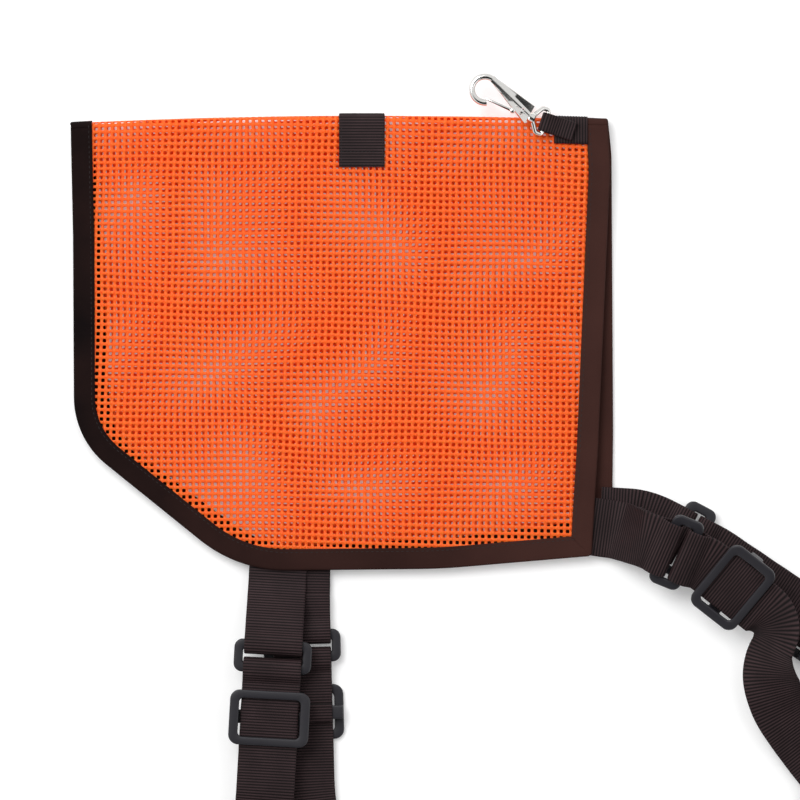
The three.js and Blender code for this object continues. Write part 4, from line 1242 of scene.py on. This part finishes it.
def hook_strap(sizes):
    """The webbing that lies along the spine at the neck, folded lengthwise over it."""
    start, end = HOOK_STRAP_START_X, FLAP_LENGTH - BINDING_WIDTH + 2.4
    pitch, rib = sizes.rib_pitch / MM, sizes.rib_height / MM
    path = fold_path(HOOK_STRAP_WIDTH, TRIM_MIDDLE)
    rows, marks = [], []
    steps = round((end - start) / (pitch / 2))
    for k in range(steps + 1):
        x = start + (end - start) * k / steps
        half = TRIM_THICKNESS / 2 + rib / 2 * (1 if k % 2 == 0 else -1)
        outer, inner = [], []
        for i, (y, z) in enumerate(path):
            before, after = path[max(i - 1, 0)], path[min(i + 1, len(path) - 1)]
            normal = Vector((-(after[1] - before[1]), after[0] - before[0])).normalized()
            if normal.dot(Vector((y, z - FOLD_Z)) + Vector((0.001, 0))) < 0:
                normal.negate()
            outer.append(arched((x, y + normal.x * half, z + normal.y * half)))
            inner.append(arched((x, y - normal.x * half, z - normal.y * half)))
        rows.append(outer + inner[::-1])
        marks.append([(i * 0.002, x * MM) for i in range(len(path))] * 2)
    bm = bmesh.new()
    loft(bm, rows, marks=marks)
    bmesh.ops.recalc_face_normals(bm, faces=bm.faces)
    made = piece(bm, "neck_strap", "ribbed_webbing",
                 replaces=["near_hook_strap", "far_hook_strap"])
    blend_over_fold(made)
    return made


def hook_frame(turn=0.0):
    """The matrix of the snap hook's own frame: X from the swivel to the bend."""
    joint = JOINTS["hook_swivel"]
    at = Vector(joint["pos_m"]) / MM - ORIGIN / MM
    x, z = Vector(joint["axis"]), Vector(JOINTS["gate_pivot"]["axis"])
    return Matrix.Translation(at) @ Matrix((x, z.cross(x), z)).transposed().to_4x4() @ Matrix.Rotation(turn, 4, "Z")


def hook_loop(sizes):
    """The strap's narrow free end, folded round the eye's bar and crumpled away from it."""
    joint = JOINTS["eye_swing"]
    at = Vector(joint["pos_m"]) / MM - ORIGIN / MM
    y = Vector(joint["axis"])
    x = y.cross(Vector((0, 0, 1)))
    middle = EYE_WIRE / 2 + GAP + TRIM_THICKNESS / 2
    points = [
        *run(LOOP_REACH, 0, -middle), *bight(0, -middle, -1), (0, middle), (2, middle),
        *run(9, LOOP_REACH, TRIM_THICKNESS + GAP - middle),
    ]
    stations = []
    for s, z in points:
        crease = 0.35 * math.sin(s * 0.9) if z > 0 and s > 5 else 0
        stations.append((at + x * s + Vector((0, 0, z + max(crease, -0.1))), (y + Vector((0, 0, crease * 0.12))).normalized()))
    bm = bmesh.new()
    web(bm, stations, EYE_LENGTH - 2 * EYE_WIRE - 4 * GAP, TRIM_THICKNESS, sizes)
    for vert in bm.verts:
        away = vert.co - at
        loose = min(1.0, max(0.0, (away.length - 7) / 4)) * min(1.0, max(0.0, (away.z + 0.4) / 1.5))
        creases = Vector((noise.noise(vert.co / 4.5), noise.noise(vert.co / 4.5 + Vector((9, 0, 0))), 0))
        lift = abs(noise.noise(vert.co / 5 + Vector((0, 5, 0))))
        vert.co += loose * Vector((1.6 * creases.x, 2.2 * creases.y + 0.5, 1.7 * lift))
    return piece(bm, "hook_loop_web", "ribbed_webbing", body="near_flap", replaces=["hook_loop"])


# ---- Snap hook ----
def cylinder(bm, start, end, radius, segments=24):
    """A closed round rod between two points."""
    along = end - start
    turn = along.to_track_quat("Z", "Y").to_matrix().to_4x4()
    matrix = Matrix.Translation((start + end) / 2) @ turn
    return bmesh.ops.create_cone(bm, cap_ends=True, segments=segments, radius1=radius, radius2=radius,
                                 depth=along.length, matrix=matrix)


def tube(bm, path, radius, sides=14):
    """A round wire along points that lie in one plane or nearly so."""
    rows = []
    for i, at in enumerate(path):
        along = (path[min(i + 1, len(path) - 1)] - path[max(i - 1, 0)]).normalized()
        level = Vector((0, 0, 1)) if abs(along.z) < 0.9 else Vector((1, 0, 0))
        side = along.cross(level).normalized()
        up = side.cross(along)
        rows.append([at + side * (radius * math.cos(a)) + up * (radius * math.sin(a))
                     for a in (2 * math.pi * k / sides for k in range(sides))])
    return loft(bm, rows)


def bend_points(radius, start, end, steps=26):
    return [(BEND_MIDDLE[0] + radius * math.cos(a), BEND_MIDDLE[1] + radius * math.sin(a))
            for a in (start + (end - start) * k / steps for k in range(steps + 1))]


def hook_body_piece():
    """The cast body and its bend, with the gate's slot and the swivel's chamber cut out."""
    px, py = GATE_PIVOT
    start, end, steps = 2.3, 35.2, 12
    rows = []
    for k in range(steps + 1):
        share = k / steps
        outer, inner, rail = -7.6 - 3.6 * share, 6.3 - 13.1 * share, -0.6 - 8.4 * share
        half, edge, foot = 1.7 + 0.5 * share, 2.05 - 0.5 * share, 1.35 + 0.5 * share
        top = [(outer, 0), (outer + 0.15, edge * 0.7), (outer + 0.6, edge), (rail - half, foot),
               (rail - half * 0.6, 2.1), (rail, HOOK_THICKNESS / 2), (rail + half * 0.6, 2.1), (rail + half, foot),
               (inner - 0.6, edge), (inner - 0.15, edge * 0.7), (inner, 0)]
        ring = top + [(y, -z) for y, z in top[-2:0:-1]]
        rows.append([(start + (end - start) * share, y, z) for y, z in ring])
    bm = bmesh.new()
    loft(bm, rows)
    bmesh.ops.recalc_face_normals(bm, faces=bm.faces)
    rod = [Vector((x, y, 0)) for x, y in bend_points(BEND_RADIUS, math.radians(-100), TIP_ANGLE)]
    tube(bm, rod, HOOK_ROD / 2, sides=20)
    bmesh.ops.recalc_face_normals(bm, faces=bm.faces)
    slot_half = 1.1
    slot = prism([(px - 2.6, py - 2.3), (px + 3, py - 2.6), (px + 17, py - 6.6), (px + 17, py + 0.2),
                  (px + 6, 9), (px - 2.6, 9)], -slot_half, slot_half)
    chamber = prism([(6.9, -2.6), (8.9, -2.6), (8.9, 2.6), (6.9, 2.6)], -10, 10)
    bm = carved(bm, [slot, chamber])
    bmesh.ops.transform(bm, matrix=hook_frame(), verts=bm.verts)
    bmesh.ops.recalc_face_normals(bm, faces=bm.faces)
    made = piece(bm, "hook_casting", "plated_metal", body="hook_body", replaces=["hook_body"])
    return sharp_smooth(made, 40)


def hook_eye_piece():
    """The swivel's collar and stem, and the wire eye that the loop holds."""
    bm = bmesh.new()
    half, neck = EYE_LENGTH / 2 - EYE_WIRE / 2, 1.8
    bow = EYE_WIRE / 2 + GAP + TRIM_THICKNESS + GAP
    tip = EYE_DEPTH - 0.6
    route = rounded([(0, half, 1.6), (0, -half, 1.6), (bow + 1, -half, 2.2), (tip, -neck, 1.2), (tip, neck, 1.2),
                     (bow + 1, half, 2.2)], step=0.2)
    path = [Vector((p.x, p.y, 0)) for p in route]
    tube(bm, path + path[:2], EYE_WIRE / 2 * 0.98)
    span, lift = EYE_DEPTH * math.cos(EYE_PITCH), EYE_DEPTH * math.sin(EYE_PITCH)
    matrix = (Matrix.Rotation(EYE_SWING, 4, "Z") @ Matrix.Translation((-span, 0, -lift))
              @ Matrix.Rotation(-EYE_PITCH, 4, "Y"))
    bmesh.ops.transform(bm, matrix=matrix, verts=bm.verts)
    collar = prism(oblong(4, 7, 0.9), -3.4, 3.4)
    collar.free()
    spin = bmesh.new()
    profile = [(-2, 0), (-2, 2.6), (-1.4, 3.5), (1.4, 3.5), (2, 2.6), (2, 1.5), (7.2, 1.5), (7.2, 2.3),
               (8.6, 2.3), (8.6, 0)]
    verts = [spin.verts.new((x, r, 0)) for x, r in profile]
    edges = [spin.edges.new(pair) for pair in zip(verts, verts[1:])]
    bmesh.ops.spin(spin, geom=verts + edges, cent=(0, 0, 0), axis=(1, 0, 0), angle=2 * math.pi, steps=28,
                   use_merge=True)
    bmesh.ops.remove_doubles(spin, verts=spin.verts, dist=0.001)
    bmesh.ops.recalc_face_normals(spin, faces=spin.faces)
    absorb(bm, spin)
    bmesh.ops.transform(bm, matrix=hook_frame(), verts=bm.verts)
    bmesh.ops.recalc_face_normals(bm, faces=bm.faces)
    made = piece(bm, "hook_swivel_eye", "plated_metal", body="hook_eye", replaces=["hook_eye"])
    return sharp_smooth(made, 40)


def hook_gate_piece():
    """The leaf that closes the hook's mouth."""
    half = 1
    end = GATE_LENGTH + 1.6
    outline = rounded([(-1.6, -half, 0.9), (end, -half * 0.6, 0.5), (end, half, 0.7), (-1.6, half, 0.9)], step=0.3)
    bm = soften(prism(outline, -0.8, 0.8), 0.35, segments=2)
    matrix = hook_frame() @ Matrix.Translation((*GATE_PIVOT, 0)) @ Matrix.Rotation(GATE_TILT, 4, "Z")
    bmesh.ops.transform(bm, matrix=matrix, verts=bm.verts)
    made = piece(bm, "hook_gate_leaf", "plated_metal", body="hook_gate", replaces=["hook_gate"])
    return sharp_smooth(made, 40)


def hook_rivet_piece():
    """The gate's rivet, with a domed head on each side."""
    bm = bmesh.new()
    head = HOOK_THICKNESS / 2 + GAP
    at = Vector((*GATE_PIVOT, 0))
    cylinder(bm, at - Vector((0, 0, head + 0.3)), at + Vector((0, 0, head + 0.3)), 0.99)
    for side in (-1, 1):
        bmesh.ops.create_uvsphere(bm, u_segments=20, v_segments=10, radius=1,
                                  matrix=Matrix.Translation(at + Vector((0, 0, side * head)))
                                  @ Matrix.Diagonal((1.7, 1.7, 0.65, 1)))
    bmesh.ops.transform(bm, matrix=hook_frame(), verts=bm.verts)
    made = piece(bm, "hook_rivet", "plated_metal", body="hook_body", replaces=["gate_rivet"])
    return sharp_smooth(made, 40)


# ---- Stage ----
def floor():
    bm = bmesh.new()
    bmesh.ops.create_grid(bm, x_segments=4, y_segments=4, size=3000)
    made = piece(bm, "stage_floor", "thread")
    material, _ = shader("pale_floor", bpy.context.scene.vest_colours.floor, 0.9, Emission_Strength=0.2,
                         Emission_Color=(1, 1, 1, 1))
    made.data.materials[0] = material


def area_light(name, at, target, size, power, colour=(1, 1, 1)):
    light = bpy.data.lights.new(name, "AREA")
    light.size = size
    light.energy = power
    light.color = colour
    holder = bpy.data.objects.new(name, light)
    holder.location = at
    holder.rotation_euler = (Vector(target) - Vector(at)).to_track_quat("-Z", "Y").to_euler()
    bpy.context.scene.collection.objects.link(holder)


def studio(sizes):
    scene = bpy.context.scene
    world = bpy.data.worlds.new("studio")
    world.use_nodes = True
    backdrop = world.node_tree.nodes["Background"]
    backdrop.inputs["Strength"].default_value = 0.9
    sky = world.node_tree.nodes.new("ShaderNodeTexCoord")
    towards = world.node_tree.nodes.new("ShaderNodeVectorMath")
    towards.operation = "DOT_PRODUCT"
    towards.inputs[1].default_value = DARK_SIDE
    bands = world.node_tree.nodes.new("ShaderNodeValToRGB")
    world.node_tree.links.new(sky.outputs["Generated"], towards.inputs[0])
    world.node_tree.links.new(towards.outputs["Value"], bands.inputs[0])
    world.node_tree.links.new(bands.outputs[0], backdrop.inputs["Color"])
    ramp = bands.color_ramp.elements
    ramp[0].position, ramp[0].color = 0.0, (1, 1, 1, 1)
    ramp[1].position, ramp[1].color = 1.0, (0.02, 0.02, 0.02, 1)
    for position, grey in ((0.76, 1.0), (0.85, 0.03)):
        band = ramp.new(position)
        band.color = (grey, grey, grey, 1)
    scene.world = world
    middle = (0, 0, 0)
    area_light("key", (-0.9, 1.0, 1.9), middle, 1.3, 32)
    area_light("fill", (1.4, -0.7, 1.6), middle, 1.8, 6)
    scene.view_settings.view_transform = "Standard"
    camera = bpy.data.cameras.new("camera")
    camera.lens = sizes.camera_lens
    camera.sensor_width = 36
    holder = bpy.data.objects.new("camera", camera)
    middle_of_view = TO_ROW @ Vector((218, -182.7, 0))
    holder.location = (middle_of_view.x, middle_of_view.y, sizes.camera_height)
    scene.collection.objects.link(holder)
    scene.camera = holder


# ---- Operators ----
class VEST_OT_stage(bpy.types.Operator):
    """Makes the floor, the lights and the camera"""
    bl_idname = "vest.stage"
    bl_label = "Stage"

    def execute(self, context):
        studio(context.scene.vest_sizes)
        floor()
        return {"FINISHED"}


class VEST_OT_mesh_panels(bpy.types.Operator):
    """Makes both halves of the folded open mesh"""
    bl_idname = "vest.mesh_panels"
    bl_label = "Mesh Panels"

    def execute(self, context):
        for which in FLAPS:
            mesh_panel(which, context.scene.vest_sizes)
        return {"FINISHED"}


class VEST_OT_bindings(bpy.types.Operator):
    """Makes the tape round each flap, and its stitching"""
    bl_idname = "vest.bindings"
    bl_label = "Bindings"

    def execute(self, context):
        for which, flap in FLAPS.items():
            line, top, low = binding(which)
            bm = bmesh.new()
            for height, up in ((top, 1), (low, -1)):
                path = [Vector((p.x, p.y, height + up * (pucker(s, BINDING_WIDTH - 2.2, 3.1 * flap["side"]) - 0.08)))
                        for p, s in line]
                sew(bm, path, [Vector((0, 0, up))] * len(path), context.scene.vest_sizes.stitch_pitch / MM)
            piece(bm, f"{which}_binding_stitches", "thread", body=flap["body"])
        return {"FINISHED"}


class VEST_OT_spine_trim(bpy.types.Operator):
    """Makes the tab, the neck strap and the hook's loop"""
    bl_idname = "vest.spine_trim"
    bl_label = "Spine Trim"

    def execute(self, context):
        sizes = context.scene.vest_sizes
        spine_tab(sizes)
        hook_strap(sizes)
        hook_loop(sizes)
        return {"FINISHED"}


class VEST_OT_hook(bpy.types.Operator):
    """Makes the snap hook with its eye, gate and rivet"""
    bl_idname = "vest.hook"
    bl_label = "Snap Hook"

    def execute(self, context):
        hook_eye_piece()
        hook_body_piece()
        hook_gate_piece()
        hook_rivet_piece()
        return {"FINISHED"}


class VEST_OT_webs(bpy.types.Operator):
    """Makes the straps' webbing"""
    bl_idname = "vest.webs"
    bl_label = "Webbing"

    def execute(self, context):
        for name, layout in LAYOUTS.items():
            anchor_web(name, layout, context.scene.vest_sizes)
            running_web(name, layout, context.scene.vest_sizes)
        return {"FINISHED"}


class VEST_OT_hardware(bpy.types.Operator):
    """Makes the straps' rings, tri-glides and buckles"""
    bl_idname = "vest.hardware"
    bl_label = "Strap Hardware"

    def execute(self, context):
        for name, layout in LAYOUTS.items():
            rectangular_ring(name, layout)
            tri_glide(name, layout)
            buckle(name, layout)
        return {"FINISHED"}


class VEST_PT_panel(bpy.types.Panel):
    """Lists the vest's sizes, colours and pieces"""
    bl_label = "Vest"
    bl_space_type = "VIEW_3D"
    bl_region_type = "UI"
    bl_category = "Vest"

    def draw(self, context):
        for group in (context.scene.vest_sizes, context.scene.vest_colours):
            for name in group.bl_rna.properties.keys():
                if name not in ("rna_type", "name"):
                    self.layout.prop(group, name)
        for operator in OPERATORS:
            self.layout.operator(operator.bl_idname)


OPERATORS = (VEST_OT_stage, VEST_OT_mesh_panels, VEST_OT_bindings, VEST_OT_spine_trim, VEST_OT_hook,
             VEST_OT_webs, VEST_OT_hardware)
CLASSES = (VestSizes, VestColours, *OPERATORS, VEST_PT_panel)


def register():
    for cls in CLASSES:
        bpy.utils.register_class(cls)
    bpy.types.Scene.vest_sizes = bpy.props.PointerProperty(type=VestSizes)
    bpy.types.Scene.vest_colours = bpy.props.PointerProperty(type=VestColours)


def unregister():
    del bpy.types.Scene.vest_colours
    del bpy.types.Scene.vest_sizes
    for cls in reversed(CLASSES):
        bpy.utils.unregister_class(cls)


def main():
    register()
    for operator in OPERATORS:
        family, name = operator.bl_idname.split(".")
        getattr(getattr(bpy.ops, family), name)()
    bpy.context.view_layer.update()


if __name__ == "__main__":
    main()
